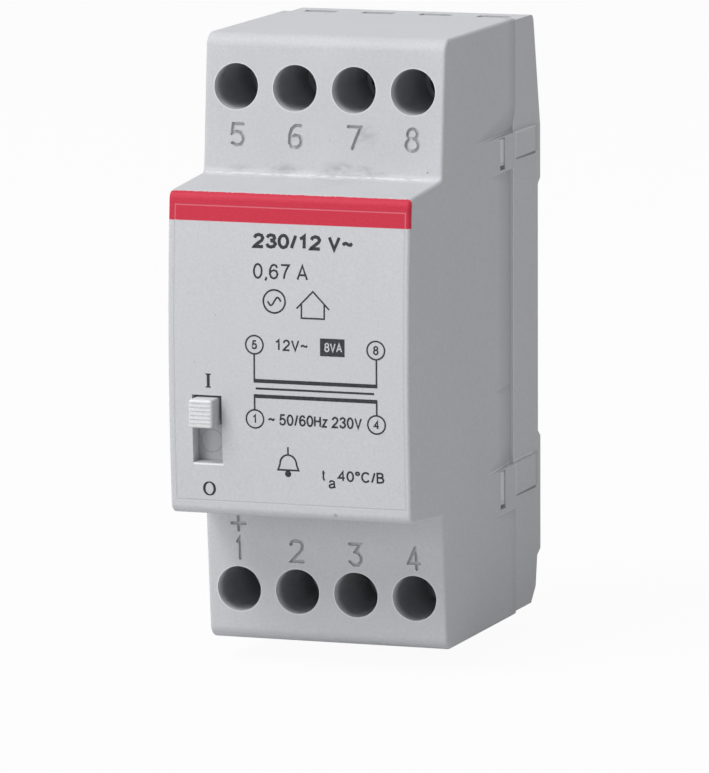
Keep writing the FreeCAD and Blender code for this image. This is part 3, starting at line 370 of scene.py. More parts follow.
# The eight well mouths: a thin painted highlight round the rim, lighter than the face
column = add(tree, "ShaderNodeMath", {"operation": "PINGPONG"}, {0: x, 1: WELL_PITCH / 2})
column = add(tree, "ShaderNodeMath", {"operation": "SUBTRACT"}, {0: WELL_PITCH / 2, 1: column})
tall = add(tree, "ShaderNodeMath", {"operation": "ABSOLUTE"}, {0: z})
row = add(tree, "ShaderNodeMath", {"operation": "SUBTRACT"}, {0: tall, 1: WELL_ROW})
spot = add(tree, "ShaderNodeCombineXYZ", inputs={0: column, 1: row})
radius = add(tree, "ShaderNodeVectorMath", {"operation": "LENGTH"}, {0: spot}, out="Value")
rim_highlight = by_distance(tree, radius, WELL_MOUTH, 0.02, 0.12, 0.4)
face = add(tree, "ShaderNodeMapRange",
           inputs={0: y, 1: WELL_LIP * MM, 2: (WELL_LIP + 0.2) * MM, 3: 1.0, 4: 0.0})
colour = laid_over(tree, colour, linear("F2F3F4"), rim_highlight, face)
# Down the wells the walls are painted shade, darkest just inside the mouth and paler deeper in
deep = add(tree, "ShaderNodeMapRange",
           inputs={0: radius, 1: (WELL_MOUTH - 0.05) * MM, 2: (WELL_MOUTH - 0.01) * MM, 3: 1.0, 4: 0.0})
inside = add(tree, "ShaderNodeMapRange", inputs={0: y, 1: (WELL_LIP - 0.4) * MM, 2: (WELL_LIP + 1.5) * MM})
depth = add(tree, "ShaderNodeMapRange", inputs={0: y, 1: WELL_LIP * MM, 2: (WELL_LIP + 8) * MM})
well_shade = laid_over(tree, linear("8A8C90"), linear("C4C6CA"), depth)
colour = laid_over(tree, colour, well_shade, deep, inside)
# Painted shade in the moulded numbers, which lie below the shoulders' face. Depth below it: y + shoulder
# depth + slope * (half height - |z|)
sunk = add(tree, "ShaderNodeMath", {"operation": "MULTIPLY_ADD"}, {0: tall, 1: -SHOULDER_SLOPE, 2: y})
sunk = add(tree, "ShaderNodeMath", {"operation": "ADD"},
           {0: sunk, 1: SHOULDER_DEPTH + SHOULDER_SLOPE * HALF_HEIGHT})
groove_shade = add(tree, "ShaderNodeMapRange", inputs={0: sunk, 1: 0.08 * MM, 2: 0.2 * MM, 3: 0.0, 4: 0.15})
shallow = add(tree, "ShaderNodeMapRange", inputs={0: sunk, 1: 0.6 * MM, 2: 0.7 * MM, 3: 1.0, 4: 0.0})
rows = by_distance(tree, tall, NUMBER_ROW, 3.35, 3.55)
columns = by_distance(tree, x, 0.0, 15.5, 15.6)
colour = laid_over(tree, colour, linear(SHADE_GREY), groove_shade, shallow, rows, columns)
# Flash along the root of the upper shoulder, its glint painted as a broken line of bright skin: a painted
# highlight
root = by_distance(tree, z, NOSE_ROOT, 0.04, 0.2, 0.6)
at_root = by_distance(tree, x, 0.0, 16.8, 17.1)
drawn = add(tree, "ShaderNodeMapping", inputs={0: place, "Scale": (0.4, 1, 1)})
broken = add(tree, "ShaderNodeTexNoise", inputs={"Vector": drawn, "Scale": 1 / (0.45 * MM), "Detail": 3.0})
broken = add(tree, "ShaderNodeMapRange", inputs={0: broken, 1: 0.36, 2: 0.56})
colour = laid_over(tree, colour, linear("FAFAFA"), root, at_root, broken)
# The slot's sill faces up and is painted white as a highlight where the light from above falls
lit_sill = add(tree, "ShaderNodeMapRange",
           inputs={0: z, 1: SLOT_FOOT * MM, 2: (SLOT_FOOT + 0.18) * MM, 3: 1.0, 4: 0.0})
low_sill = add(tree, "ShaderNodeMapRange",
               inputs={0: z, 1: (SLOT_FOOT - 0.15) * MM, 2: (SLOT_FOOT - 0.05) * MM})
in_slot = by_distance(tree, x, SLOT_MIDDLE, 2.1, 2.25)
colour = laid_over(tree, colour, linear("FFFFFF"), lit_sill, low_sill, in_slot, 0.85)
# Handling marks on the front: smears drawn out along the shoulder's root, one smudge, single specks, and a
# faint painted shade over the upper wells. Each has its middle x and z, its full and outer radius in
# millimetres, and its strength.
flank = add(tree, "ShaderNodeCombineXYZ", inputs={0: x, 2: z})
along = add(tree, "ShaderNodeMapping", inputs={0: flank, "Scale": (0.3, 1, 1)})
front = add(tree, "ShaderNodeMapRange",
            inputs={0: y, 1: (WELL_LIP + 0.5) * MM, 2: (WELL_LIP + 1) * MM, 3: 1.0, 4: 0.0})
smeared = add(tree, "ShaderNodeTexNoise", inputs={"Vector": drawn, "Scale": 1 / (0.7 * MM), "Detail": 3.0})
smeared = add(tree, "ShaderNodeMapRange", inputs={0: smeared, 1: 0.36, 2: 0.62, 3: 0.1, 4: 1.0})
for ground, stretch, masks, marks in (
        (along, 0.3, (front, smeared),
         ((-6.0, 24.0, 0.2, 1.2, 0.34), (3.0, 24.1, 0.2, 1.5, 0.44), (7.5, 23.9, 0.2, 1.0, 0.26),
          (-12.0, 23.9, 0.2, 0.8, 0.26))),
        (flank, 1.0, (front, smeared), ((6.4, 29.0, 0.3, 2.1, 0.3),)),
        (flank, 1.0, (front,),
         ((15.3, 24.3, 0.08, 0.18, 0.8), (6.53, -21.58, 0.14, 0.36, 0.42), (-10.5, 5.4, 0.05, 0.13, 0.5),
          (-13.6, -1.2, 0.05, 0.15, 0.35), (-8.7, -16.1, 0.04, 0.11, 0.3), (8.4, 26.6, 0.04, 0.11, 0.4),
          (1.0, 28.2, 0.05, 0.11, 0.45), (-8.5, 33.5, 7.0, 10.5, 0.05), (8.5, 33.5, 7.0, 10.5, 0.055)))):
    for mark_x, mark_z, core, outer, strength in marks:
        away = add(tree, "ShaderNodeVectorMath", {"operation": "DISTANCE"},
                   {0: ground, 1: (stretch * mark_x * MM, 0, mark_z * MM)}, out="Value")
        mark = add(tree, "ShaderNodeMapRange",
                   inputs={0: away, 1: core * MM, 2: outer * MM, 3: strength, 4: 0.0})
        colour = laid_over(tree, colour, linear(SMUDGE_AND_SHADE), mark, *masks)
# The side is hollowed in front of the split, deepest at the split, and the hollow is painted with shade:
# front end y, strength there and at the split, z from, z to
side = by_distance(tree, x, 0.0, SIDE_FROM, SIDE_FROM + 0.2, 0.0, 1.0)
ended = add(tree, "ShaderNodeMapRange",
            inputs={0: y, 1: (SPLIT - 0.1) * MM, 2: SPLIT * MM, 3: 1.0, 4: 0.0})
for tip, thin, thick, foot, head in ((-18.4, 0.08, 0.36, -20.4, 21.2), (-15.0, 0.0, 0.3, 26.6, 43.0),
                                     (-14.0, 0.0, 0.14, -43.0, -27.2)):
    painted_shade = add(tree, "ShaderNodeMapRange",
               inputs={0: y, 1: tip * MM, 2: (SPLIT - 0.2) * MM, 3: thin, 4: thick})
    begun = add(tree, "ShaderNodeMapRange", inputs={0: y, 1: (tip - 0.3) * MM, 2: tip * MM})
    half = (head - foot) / 2
    rows = by_distance(tree, z, foot + half, half, half + 0.1)
    colour = laid_over(tree, colour, linear(SHADE_GREY), painted_shade, begun, ended, rows, side)
# The scoops at the latches fade into the side: painted shade above or below each ledge, and a pale painted
# highlight along its edge. Ledge z, front end y, height, shade, highlight.
for ledge, tip, height, depth, highlight_strength in (
        (26.55, -29.3, 4.6, 0.42, 0.3), (21.3, -23.0, -2.8, 0.26, 0.3), (-9.3, -21.5, -2.2, 0.24, 0.0),
        (-20.45, -24.1, 4.0, 0.36, 0.3), (-27.1, -21.9, -2.0, 0.22, 0.3)):
    reach = add(tree, "ShaderNodeMapRange",
                inputs={0: y, 1: tip * MM, 2: (SPLIT - 0.2) * MM, 3: 0.02, 4: 1.0})
    up = add(tree, "ShaderNodeMath", {"operation": "SUBTRACT"}, {0: z, 1: ledge * MM})
    up = add(tree, "ShaderNodeMath", {"operation": "MULTIPLY"}, {0: up, 1: 1 / (height * MM)})
    share = add(tree, "ShaderNodeMath", {"operation": "DIVIDE"}, {0: up, 1: reach})
    fade = add(tree, "ShaderNodeMapRange", inputs={0: share, 3: depth, 4: 0.0})
    started = add(tree, "ShaderNodeMapRange", inputs={0: up, 1: -0.03, 2: 0.02})
    begun = add(tree, "ShaderNodeMapRange", inputs={0: y, 1: tip * MM, 2: (tip + 2.5) * MM})
    colour = laid_over(tree, colour, linear(SHADE_GREY), fade, started, begun, ended, side)
    lit_brow = by_distance(tree, z, ledge, 0.01 * abs(height), 0.05 * abs(height), highlight_strength)
    colour = laid_over(tree, colour, linear(EDGE_HIGHLIGHT), lit_brow, begun, side)
cut = add(tree, "ShaderNodeMath", {"operation": "MULTIPLY_ADD"}, {0: line, 1: -1.5, 2: grain})
plastic(tree, colour, grain, 0.6, 1.58, 0.05, cut, 0.3)
hood.data.materials.clear()
hood.data.materials.append(hood_skin)
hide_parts("front_housing")
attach(hood, "housing")

# Label: one dark pad printing straight on the nose, with plain ratings, the
# connection diagram, the bell sign and the switch marks, and a light text that
# stands out of the solid block.
INK = "1B1D20"
INK_LIFT = 0.02 * MM
INK_PROFILE = 0.5 * np.array([(-1, -1), (-1, 1), (1, 1), (1, -1)])
THIN_LINE = 0.22
WIRE_LINE = 0.24
RING_RADIUS = 1.26
SIGN_GAP = 0.24
WIRE_LEFT, WIRE_RIGHT = -4.86, 12.82
BAR_LEFT, BAR_RIGHT = -4.97, 12.93


def ink_line(points, width, closed=False, lift=INK_LIFT, scale=None):
    """A printed line in millimetres: a flat rectangle, width across, from lift below to lift above."""
    profile = INK_PROFILE * (width * MM, 2 * lift)
    return carried(np.asarray(points, float) * MM, profile, nose_front, closed, scale)


def ink_field(x_low, x_high, z_low, z_high, lift=INK_LIFT):
    """A printed rectangle in millimetres, as one broad line along its middle."""
    middle = (z_low + z_high) / 2
    return ink_line([(x_low, middle), (x_high, middle)], z_high - z_low, lift=lift)


# Each printed sign by the middle line of its strokes, one unit high: (points, closed) and its width
PRINTED = {
    "0": ([(ellipse(0.27, 0.5, 0.27, 0.5, 24), True)], 0.54),
    "1": ([([(0.03, 0.78), (0.16, 0.84), (0.3, 1.0), (0.3, 0.0)], False)], 0.5),
    "2": ([([(0.01, 0.72), (0.08, 0.91), (0.26, 1.0), (0.45, 0.92), (0.53, 0.73), (0.46, 0.53),
             (0.24, 0.3), (0.03, 0.06), (0.0, 0.0), (0.55, 0.0)], False)], 0.54),
    "3": ([([(0.02, 0.76), (0.1, 0.93), (0.27, 1.0), (0.45, 0.93), (0.5, 0.76), (0.42, 0.6),
             (0.22, 0.53)], False),
           ([(0.24, 0.53), (0.44, 0.48), (0.54, 0.28), (0.46, 0.08), (0.26, 0.0), (0.08, 0.07),
             (0.0, 0.26)], False)], 0.54),
    "4": ([([(0.41, 0.0), (0.41, 1.0), (0.0, 0.31), (0.56, 0.31)], False)], 0.56),
    "5": ([([(0.5, 1.0), (0.12, 1.0), (0.04, 0.5), (0.16, 0.6), (0.3, 0.63), (0.46, 0.55),
             (0.54, 0.33), (0.46, 0.09), (0.26, 0.0), (0.08, 0.06), (0.0, 0.24)], False)], 0.54),
    "6": ([([(0.51, 0.78), (0.42, 0.95), (0.28, 1.0), (0.11, 0.9), (0.01, 0.62), (0.01, 0.32),
             (0.1, 0.08), (0.28, 0.0), (0.46, 0.09), (0.54, 0.31), (0.46, 0.53), (0.29, 0.6),
             (0.11, 0.53), (0.02, 0.38)], False)], 0.54),
    "7": ([([(0.0, 1.0), (0.54, 1.0), (0.36, 0.66), (0.25, 0.34), (0.2, 0.0)], False)], 0.54),
    "8": ([(ellipse(0.27, 0.77, 0.23, 0.23, 20), True),
           (ellipse(0.27, 0.27, 0.27, 0.27, 20), True)], 0.54),
    "A": ([([(0.0, 0.0), (0.33, 1.0), (0.66, 0.0)], False),
           ([(0.1, 0.32), (0.56, 0.32)], False)], 0.66),
    "V": ([([(0.0, 1.0), (0.31, 0.0), (0.62, 1.0)], False)], 0.62),
    "H": ([([(0.0, 0.0), (0.0, 1.0)], False),
           ([(0.56, 0.0), (0.56, 1.0)], False),
           ([(0.0, 0.53), (0.56, 0.53)], False)], 0.56),
    "z": ([([(0.02, 0.7), (0.42, 0.7), (0.0, 0.0), (0.44, 0.0)], False)], 0.44),
    "C": ([(ellipse(0.35, 0.5, 0.35, 0.5, 20, 0.11, 0.78), False)], 0.66),
    "B": ([([(0.3, 0.53), (0.44, 0.6), (0.5, 0.76), (0.44, 0.93), (0.3, 1.0), (0.0, 1.0), (0.0, 0.0),
             (0.32, 0.0), (0.5, 0.08), (0.56, 0.27), (0.49, 0.46), (0.3, 0.53),
             (0.0, 0.53)], False)], 0.56),
    "t": ([([(0.12, 0.95), (0.12, 0.15), (0.17, 0.02), (0.28, 0.0)], False),
           ([(0.0, 0.7), (0.27, 0.7)], False)], 0.28),
    "a": ([([(0.03, 0.74), (0.12, 0.95), (0.32, 1.0), (0.5, 0.88), (0.52, 0.2), (0.6, 0.0)], False),
           ([(0.52, 0.6), (0.2, 0.5), (0.02, 0.34), (0.04, 0.1), (0.2, 0.0), (0.4, 0.08),
             (0.52, 0.28)], False)], 0.6),
    "~": ([([(0.0, 0.4), (0.07, 0.52), (0.19, 0.55), (0.36, 0.44), (0.48, 0.43),
             (0.57, 0.57)], False)], 0.57),
    "/": ([([(0.0, -0.02), (0.26, 1.02)], False)], 0.26),
    ",": ([([(0.08, 0.08), (0.07, -0.06), (0.0, -0.17)], False)], 0.08),
    "°": ([(ellipse(0.16, 0.85, 0.15, 0.15, 16), True)], 0.32),
    " ": ([], 0.12),
}


def lettering(text, x_low, x_high, base, top, stroke, lift=INK_LIFT, natural=False):
    """Printed signs side by side: their boxes are scaled so that the ink spans x_low to x_high, or is
    centred there at its own proportions, and base to top, all in millimetres. The strokes of one sign
    lie a hair above each other."""
    span = sum(PRINTED[sign][1] for sign in text) + SIGN_GAP * (len(text) - 1)
    tall = top - base - stroke
    wide = tall if natural else (x_high - x_low - stroke) / span
    at = (x_low + x_high) / 2 - span * wide / 2
    parts = []
    for sign in text:
        strokes, width = PRINTED[sign]
        for order, (points, closed) in enumerate(strokes):
            line = np.array(points) * (wide, tall) + (at, base + stroke / 2)
            parts.append(ink_line(line, stroke, closed, lift + 0.002 * order * MM))
        at += (width + SIGN_GAP) * wide
    return parts


def ringed(sign, x, z, height):
    """A sign in a printed circle: the ring and the sign."""
    return [ink_line(ellipse(x, z, RING_RADIUS, RING_RADIUS, 44), THIN_LINE, True),
            *lettering(sign, x, x, z - height / 2, z + height / 2, THIN_LINE, natural=True)]


bell = np.vstack([ellipse(-0.13, -14.78, 1.2, 1.32, 21, 0.5, -0.5), [(1.36, -15.58), (-1.62, -15.58)]])
WAVE_HALF = 0.95
wave = np.linspace(-WAVE_HALF, WAVE_HALF, 25)
dark = [
    *lettering("230/12 V~", -5.11, 9.45, 14.89, 16.99, 0.45),
    *lettering("0,67 A", -5.05, 2.93, 10.7, 12.85, 0.27),
    *lettering("12V~", -1.86, 2.96, 0.94, 2.53, 0.24),
    *lettering("~ 50/60Hz 230V", -2.96, 10.66, -9.41, -7.8, 0.25),
    *lettering("t", 4.67, 5.25, -16.8, -15.2, 0.23),
    *lettering("a", 5.64, 6.72, -17.85, -16.65, 0.22),
    *lettering("40°C/B", 7.0, 13.76, -16.8, -15.27, 0.25),
    ink_field(4.7, 8.24, 0.47, 2.9),
    # I and O beside the slot, drawn thick and thin with feet as in a book face
    ink_field(-11.8, -11.38, -4.63, -2.68), ink_field(-11.98, -11.2, -2.84, -2.68),
    ink_field(-11.98, -11.2, -4.63, -4.47),
    ink_line(ellipse(-11.73, -18.72, 0.76, 0.9, 40), 0.36, True,
             scale=0.45 + 0.55 * np.abs(np.cos(np.linspace(0, 2 * math.pi, 41)[:-1]))),
    # The alternating source and the sign for use in the house
    ink_line(ellipse(-1.94, 7.69, 1.58, 1.58, 44), WIRE_LINE, True),
    ink_line(np.stack([-1.94 + wave, 7.69 + 0.55 * np.sin(wave * math.pi / WAVE_HALF)], axis=1),
             WIRE_LINE),
    ink_line([(1.3, 6.85), (3.65, 9.25), (6.0, 6.85)], THIN_LINE),
    ink_line([(2.0, 7.5), (2.0, 5.56), (5.3, 5.56), (5.3, 7.5)], THIN_LINE),
    # Windings and core of the diagram, and the wires from them to the rings
    ink_field(BAR_LEFT, BAR_RIGHT, -3.62, -3.1), ink_field(-4.68, 12.46, -4.56, -4.28),
    ink_field(BAR_LEFT, BAR_RIGHT, -5.74, -5.22),
    ink_line([(WIRE_LEFT, 0.35), (WIRE_LEFT, -3.4)], WIRE_LINE),
    ink_line([(WIRE_RIGHT, 0.3), (WIRE_RIGHT, -3.4)], WIRE_LINE),
    ink_line([(WIRE_LEFT, -7.4), (WIRE_LEFT, -5.4)], WIRE_LINE),
    ink_line([(WIRE_RIGHT, -7.4), (WIRE_RIGHT, -5.4)], WIRE_LINE),
    # The bell
    ink_line([(-0.13, -12.36), (-0.13, -13.5)], 0.23),
    ink_line(bell, WIRE_LINE, True),
    ink_line(ellipse(-0.18, -16.1, 0.23, 0.23, 20), 0.45, True),
]
for sign, x_mid, z_mid in (("5", -4.82, 1.61), ("8", 12.74, 1.58),
                           ("1", -4.84, -8.66), ("4", 12.76, -8.67)):
    dark += ringed(sign, x_mid, z_mid, 1.28)
printing = joined("label_printing", dark)

# Two-part pad-printing ink, dark grey: a thin satin film, slightly starved
# where the grain of the housing shows through.
ink, tree = blank("pad_printing_ink_dark")
place, colour, grain = moulded_skin(tree, INK, "3A3C40", 0.3)
plastic(tree, colour, grain, 0.5, 1.5, 0.01, None, 0.3)
printing.data.materials.append(ink)
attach(printing, "housing")

# The rating in the solid block is the housing's own skin, seen through a window
# left bare in the ink
knocked_out = joined("label_light_text", lettering("8VA", 5.32, 7.9, 1.06, 2.34, 0.19, lift=2 * INK_LIFT))
pale_ink, tree = blank("pad_printing_bare_window")
place, colour, grain = moulded_skin(tree, "CBCDD1", "B9BBBF", 0.3)
plastic(tree, colour, grain, 0.5, 1.5, 0.01)
knocked_out.data.materials.append(pale_ink)
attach(knocked_out, "housing")

# Rear base: the same grey polycarbonate, moulded as a tray. Its tongues snap
# into the hood's windows, and the fixed rail hook is part of it.
PAD_END = -2.3
# Darker painted shade and shadow at the pads
PAD_SHADE = "626468"


def dress(material, *nodes):
    """Gives CAD nodes a material in every slot they have."""
    for name in nodes:
        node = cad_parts[name]
        if not node.material_slots:
            node.data.materials.append(None)
        for holder in node.material_slots:
            holder.material = material


base_skin, tree = blank("grey_polycarbonate_spark_eroded")
place, colour, grain = moulded_skin(tree, "CDCED2", "C4C5C9", SKIN_GRAIN)
x, y, z = (add(tree, "ShaderNodeSeparateXYZ", inputs={0: place}, out=axis) for axis in "XYZ")
side = by_distance(tree, x, 0.0, SIDE_FROM, SIDE_FROM + 0.2, 0.0, 1.0)
# The pads behind the latches: a pale painted highlight along the upper edge, a line of painted shadow
# below the pad that widens to the rear, and painted shade on the rear end, which turns away from the
# light. Upper z, lower z.
reach = add(tree, "ShaderNodeMapRange",
            inputs={0: y, 1: PAD_END * MM, 2: (PAD_END + 0.3) * MM, 3: 1.0, 4: 0.0})
reach = add(tree, "ShaderNodeMath", {"operation": "MULTIPLY"}, {0: reach, 1: side})
taper = add(tree, "ShaderNodeMapRange",
            inputs={0: y, 1: (SPLIT - 0.2) * MM, 2: PAD_END * MM, 3: 0.1 * MM, 4: 0.22 * MM})
rear = add(tree, "ShaderNodeMapRange",
           inputs={0: y, 1: PAD_END * MM, 2: (PAD_END + 0.2) * MM, 3: 0.0, 4: 0.2})
ended = add(tree, "ShaderNodeMapRange", inputs={0: y, 1: -0.1 * MM, 2: -0.02 * MM, 3: 1.0, 4: 0.0})
for pad_top, pad_foot in ((26.35, 22.6), (-20.45, -25.4)):
    lit_brow = by_distance(tree, z, pad_top, 0.06, 0.16, 0.5)
    colour = laid_over(tree, colour, linear(EDGE_HIGHLIGHT), lit_brow, reach)
    painted_shade = add(tree, "ShaderNodeMath", {"operation": "SUBTRACT"}, {0: z, 1: pad_foot * MM})
    painted_shade = add(tree, "ShaderNodeMath", {"operation": "ABSOLUTE"}, {0: painted_shade})
    painted_shade = add(tree, "ShaderNodeMath", {"operation": "DIVIDE"}, {0: painted_shade, 1: taper})
    painted_shade = add(tree, "ShaderNodeMapRange", inputs={0: painted_shade, 1: 0.5, 2: 1.3, 3: 0.8, 4: 0.0})
    colour = laid_over(tree, colour, linear(PAD_SHADE), painted_shade, reach)
    half = (pad_top - pad_foot) / 2
    rows = by_distance(tree, z, pad_foot + half, half, half + 0.1)
    colour = laid_over(tree, colour, linear(PAD_SHADE), rear, rows, ended, side)
# The lip at the split has a pale painted highlight
lit_lip = add(tree, "ShaderNodeMapRange",
          inputs={0: y, 1: SPLIT * MM, 2: (SPLIT + 0.15) * MM, 3: 0.45, 4: 0.0})
colour = laid_over(tree, colour, linear(EDGE_HIGHLIGHT), lit_lip, side)
plastic(tree, colour, grain, 0.6, 1.58, 0.05, None, 0.3)
dress(base_skin, "rear_base")

# Switch slider: a near-white polyamide moulding with seven grip ribs on the
# knob, smoother than the hood, so that it takes a soft sheen. Its shield plate
# closes the slot behind the knob.
SHIELD_FACE = -56.0
GRIP_RIGHT = -10.55
PIN_MARK = (-12.1 * MM, 0, -12.4 * MM)
knob_skin, tree = blank("white_polyamide_moulded")
place, colour, grain = moulded_skin(tree, "E2E3E5", "D5D6D8", 0.4)
x, y, z = (add(tree, "ShaderNodeSeparateXYZ", inputs={0: place}, out=axis) for axis in "XYZ")
# The shield plate, behind the knob, is painted greyer as the shade in the slot
shaded_shield = add(tree, "ShaderNodeMapRange", inputs={0: y, 1: SHIELD_FACE * MM, 2: (SHIELD_FACE + 1) * MM})
colour = laid_over(tree, colour, linear("B9BABD"), shaded_shield)
# Painted shade greys the grip's right flank
flank = add(tree, "ShaderNodeMapRange",
            inputs={0: x, 1: GRIP_RIGHT * MM, 2: (GRIP_RIGHT + 0.45) * MM, 3: 0.0, 4: 0.55})
colour = laid_over(tree, colour, linear(SHADE_GREY), flank)
# The ejector pin left its round mark on the shield
plate = add(tree, "ShaderNodeCombineXYZ", inputs={0: x, 2: z})
pin = add(tree, "ShaderNodeVectorMath", {"operation": "DISTANCE"}, {0: plate, 1: PIN_MARK}, out="Value")
pin = by_distance(tree, pin, 1.58, 0.03, 0.11, 0.5)
colour = laid_over(tree, colour, linear("808286"), pin, shaded_shield)
plastic(tree, colour, grain, 0.42, 1.53, 0.02)
dress(knob_skin, "switch_knob")

# Switch case: a small box of dark polyamide, injection-moulded, with a dull even
# sheen. It stands on the slot's collar behind the nose and guides the slider.
case_skin, tree = blank("dark_polyamide_moulded")
place, colour, grain = moulded_skin(tree, "3A3B3E", "303134", 0.3)
plastic(tree, colour, grain, 0.5, 1.53, 0.02)
dress(case_skin, "switch_body")

# Rail clip: black acetal, injection-moulded, with a soft waxy gloss. It slides
# in the base's channel against its spring.
clip_skin, tree = blank("black_acetal_moulded")
place, colour, grain = moulded_skin(tree, "2B2C2E", "232426", 0.4)
plastic(tree, colour, grain, 0.4, 1.48, 0.03)
dress(clip_skin, "rail_clip")

# Terminals: steel screws, turned and zinc-plated to a bright silver with fine
# turning marks, in greyer folded cages of the same steel. These draw the wire up
# against stamped brass bars, which are dull white with tin.
TERMINALS = "1458"


def worked_metal(name, pale, deep, roughness, grain_mm, stretch):
    """A bare or plated metal: fine marks drawn long by the way it was worked, as tone, gloss and bump."""
    material, tree = blank(name)
    place = add(tree, "ShaderNodeTexCoord", out="Object")
    drawn = add(tree, "ShaderNodeMapping", inputs={0: place, "Scale": stretch})
    marks = add(tree, "ShaderNodeTexNoise",
                inputs={"Vector": drawn, "Scale": 1 / (grain_mm * MM), "Detail": 3.0})
    colour = laid_over(tree, linear(pale), linear(deep), marks)
    gloss = add(tree, "ShaderNodeMapRange", inputs={0: marks, 3: roughness - 0.1, 4: roughness + 0.1})
    normal = add(tree, "ShaderNodeBump", inputs={"Strength": 0.3, "Distance": 0.01 * MM, "Height": marks})
    shader = add(tree, "ShaderNodeBsdfPrincipled",
                 inputs={"Base Color": colour, "Metallic": 1.0, "Roughness": gloss, "Normal": normal})
    add(tree, "ShaderNodeOutputMaterial", inputs={"Surface": shader})
    return material


zinc = worked_metal("zinc_plated_steel_turned", "C9CCD0", "A9ADB2", 0.32, 0.5, (1, 0.2, 1))
dress(zinc, *[f"terminal_screw_{number}" for number in TERMINALS])
cage_zinc = worked_metal("zinc_plated_steel_folded", "B9BDC2", "989CA2", 0.4, 0.6, (0.2, 1, 1))
dress(cage_zinc, *[f"clamp_cage_{number}" for number in TERMINALS])
tin = worked_metal("tinned_brass_stamped", "D2CFC6", "B8B4A8", 0.38, 0.5, (1, 1, 0.2))
dress(tin, *[f"contact_bar_{number}" for number in TERMINALS])
dress(tin, "bobbin_pins")

# Switch contacts: tabs of yellow brass and a bridge of red copper that the
# slider carries across them, all stamped, with fine marks of the rolled strip
brass = worked_metal("brass_stamped", "D9B866", "B8964A", 0.35, 0.4, (1, 0.2, 1))
dress(brass, "switch_contact_upper", "switch_contact_lower")
copper = worked_metal("copper_stamped", "CE8A64", "A9694A", 0.36, 0.4, (0.2, 1, 1))
dress(copper, "switch_bridge")

# Clip spring: hard-drawn stainless wire with bright streaks along it, six turns,
# standing on the base's tab in the clip's window. The clip squeezes it from
# above when it is pulled down.
SPRING_FOOT = -35.0 * MM
SPRING_LENGTH = 9.0 * MM
SPRING_TRAVEL = 3.0 * MM
SPRING_AXIS = -0.55 * MM
COIL_RADIUS = 1.1 * MM
COIL_WIRE = 0.4 * MM
COIL_TURNS = 6


def coiled(radius, wire, length, turns, steps=36, sides=12):
    """A round wire along a helix about Z. With t along the helix and s round the wire, point =
    radius * out(t) + rise * t + wire / 2 * (cos s * out(t) + sin s * lift(t)), lift = tangent x out."""
    t = np.linspace(0, 2 * math.pi * turns, turns * steps + 1)
    s = np.linspace(0, 2 * math.pi, sides, endpoint=False)[None, :, None]
    rise = (length - wire) / (2 * math.pi * turns)
    out = np.stack([np.cos(t), np.sin(t), 0 * t], axis=1)
    tangent = np.stack([-radius * np.sin(t), radius * np.cos(t), rise + 0 * t], axis=1)
    lift = np.cross(tangent / np.linalg.norm(tangent, axis=1)[:, None], out)
    axis = radius * out + np.stack([0 * t, 0 * t, wire / 2 + rise * t], axis=1)
    points = axis[:, None] + wire / 2 * (np.cos(s) * out[:, None] + np.sin(s) * lift[:, None])
    index = np.arange(len(t) * sides).reshape(len(t), sides)
    turned = np.roll(index, -1, axis=1)
    faces = np.stack([index[:-1], turned[:-1], turned[1:], index[1:]], axis=-1).reshape(-1, 4).tolist()
    return points.reshape(-1, 3), faces + [index[0].tolist(), index[-1].tolist()]


wire_steel = worked_metal("spring_steel_drawn", "B4B6B9", "8F9195", 0.3, 0.3, (1, 1, 0.3))
points, faces = coiled(COIL_RADIUS, COIL_WIRE, SPRING_LENGTH, COIL_TURNS)
spring = joined("clip_spring_coil", [(points + (0, SPRING_AXIS, SPRING_FOOT), faces)])
spring.data.shade_smooth()
spring.data.materials.append(wire_steel)
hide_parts("rail_clip_spring")
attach(spring, "housing")
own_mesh(spring)

# Core: varnished silicon-steel laminations, half a millimetre each, stacked
# across the width. The gaps between the sheets show as fine dark lines, and the
# varnish as a cloudy tone.
SHEET = 0.5 * MM
core_steel, tree = blank("silicon_steel_laminations_varnished")
place = add(tree, "ShaderNodeTexCoord", out="Object")
x = add(tree, "ShaderNodeSeparateXYZ", inputs={0: place}, out="X")
sheet = add(tree, "ShaderNodeMath", {"operation": "PINGPONG"}, {0: x, 1: SHEET / 2})
sheet = add(tree, "ShaderNodeMapRange", inputs={0: sheet, 1: 0.0, 2: 0.08 * MM})
stain = add(tree, "ShaderNodeTexNoise", inputs={"Vector": place, "Scale": 1 / (4 * MM), "Detail": 4.0})
body = laid_over(tree, linear("5A5856"), linear("454341"), stain)
colour = laid_over(tree, linear("2C2A28"), body, sheet)
normal = add(tree, "ShaderNodeBump", inputs={"Strength": 0.5, "Distance": 0.04 * MM, "Height": sheet})
gloss = add(tree, "ShaderNodeMapRange", inputs={0: stain, 3: 0.35, 4: 0.55})
shader = add(tree, "ShaderNodeBsdfPrincipled",
             inputs={"Base Color": colour, "Metallic": 0.6, "Roughness": gloss, "Normal": normal})
add(tree, "ShaderNodeOutputMaterial", inputs={"Surface": shader})
dress(core_steel, "core_e_stack", "core_i_stack")

# Coil former: natural glass-filled polyamide, moulded, on the core's middle leg;
# creamy, and its short fibres coarsen the grain
former_skin, tree = blank("natural_glass_filled_polyamide")
place, colour, grain = moulded_skin(tree, "E6E1D2", "D6CFBC", 0.5)
plastic(tree, colour, grain, 0.55, 1.53, 0.03)
dress(former_skin, "bobbin")

# Windings: copper wire in red-brown enamel, thin for the mains side and thick
# for the bell side, whose turns show as glossy ridges. Each is closed by a turn
# of yellow polyester tape.


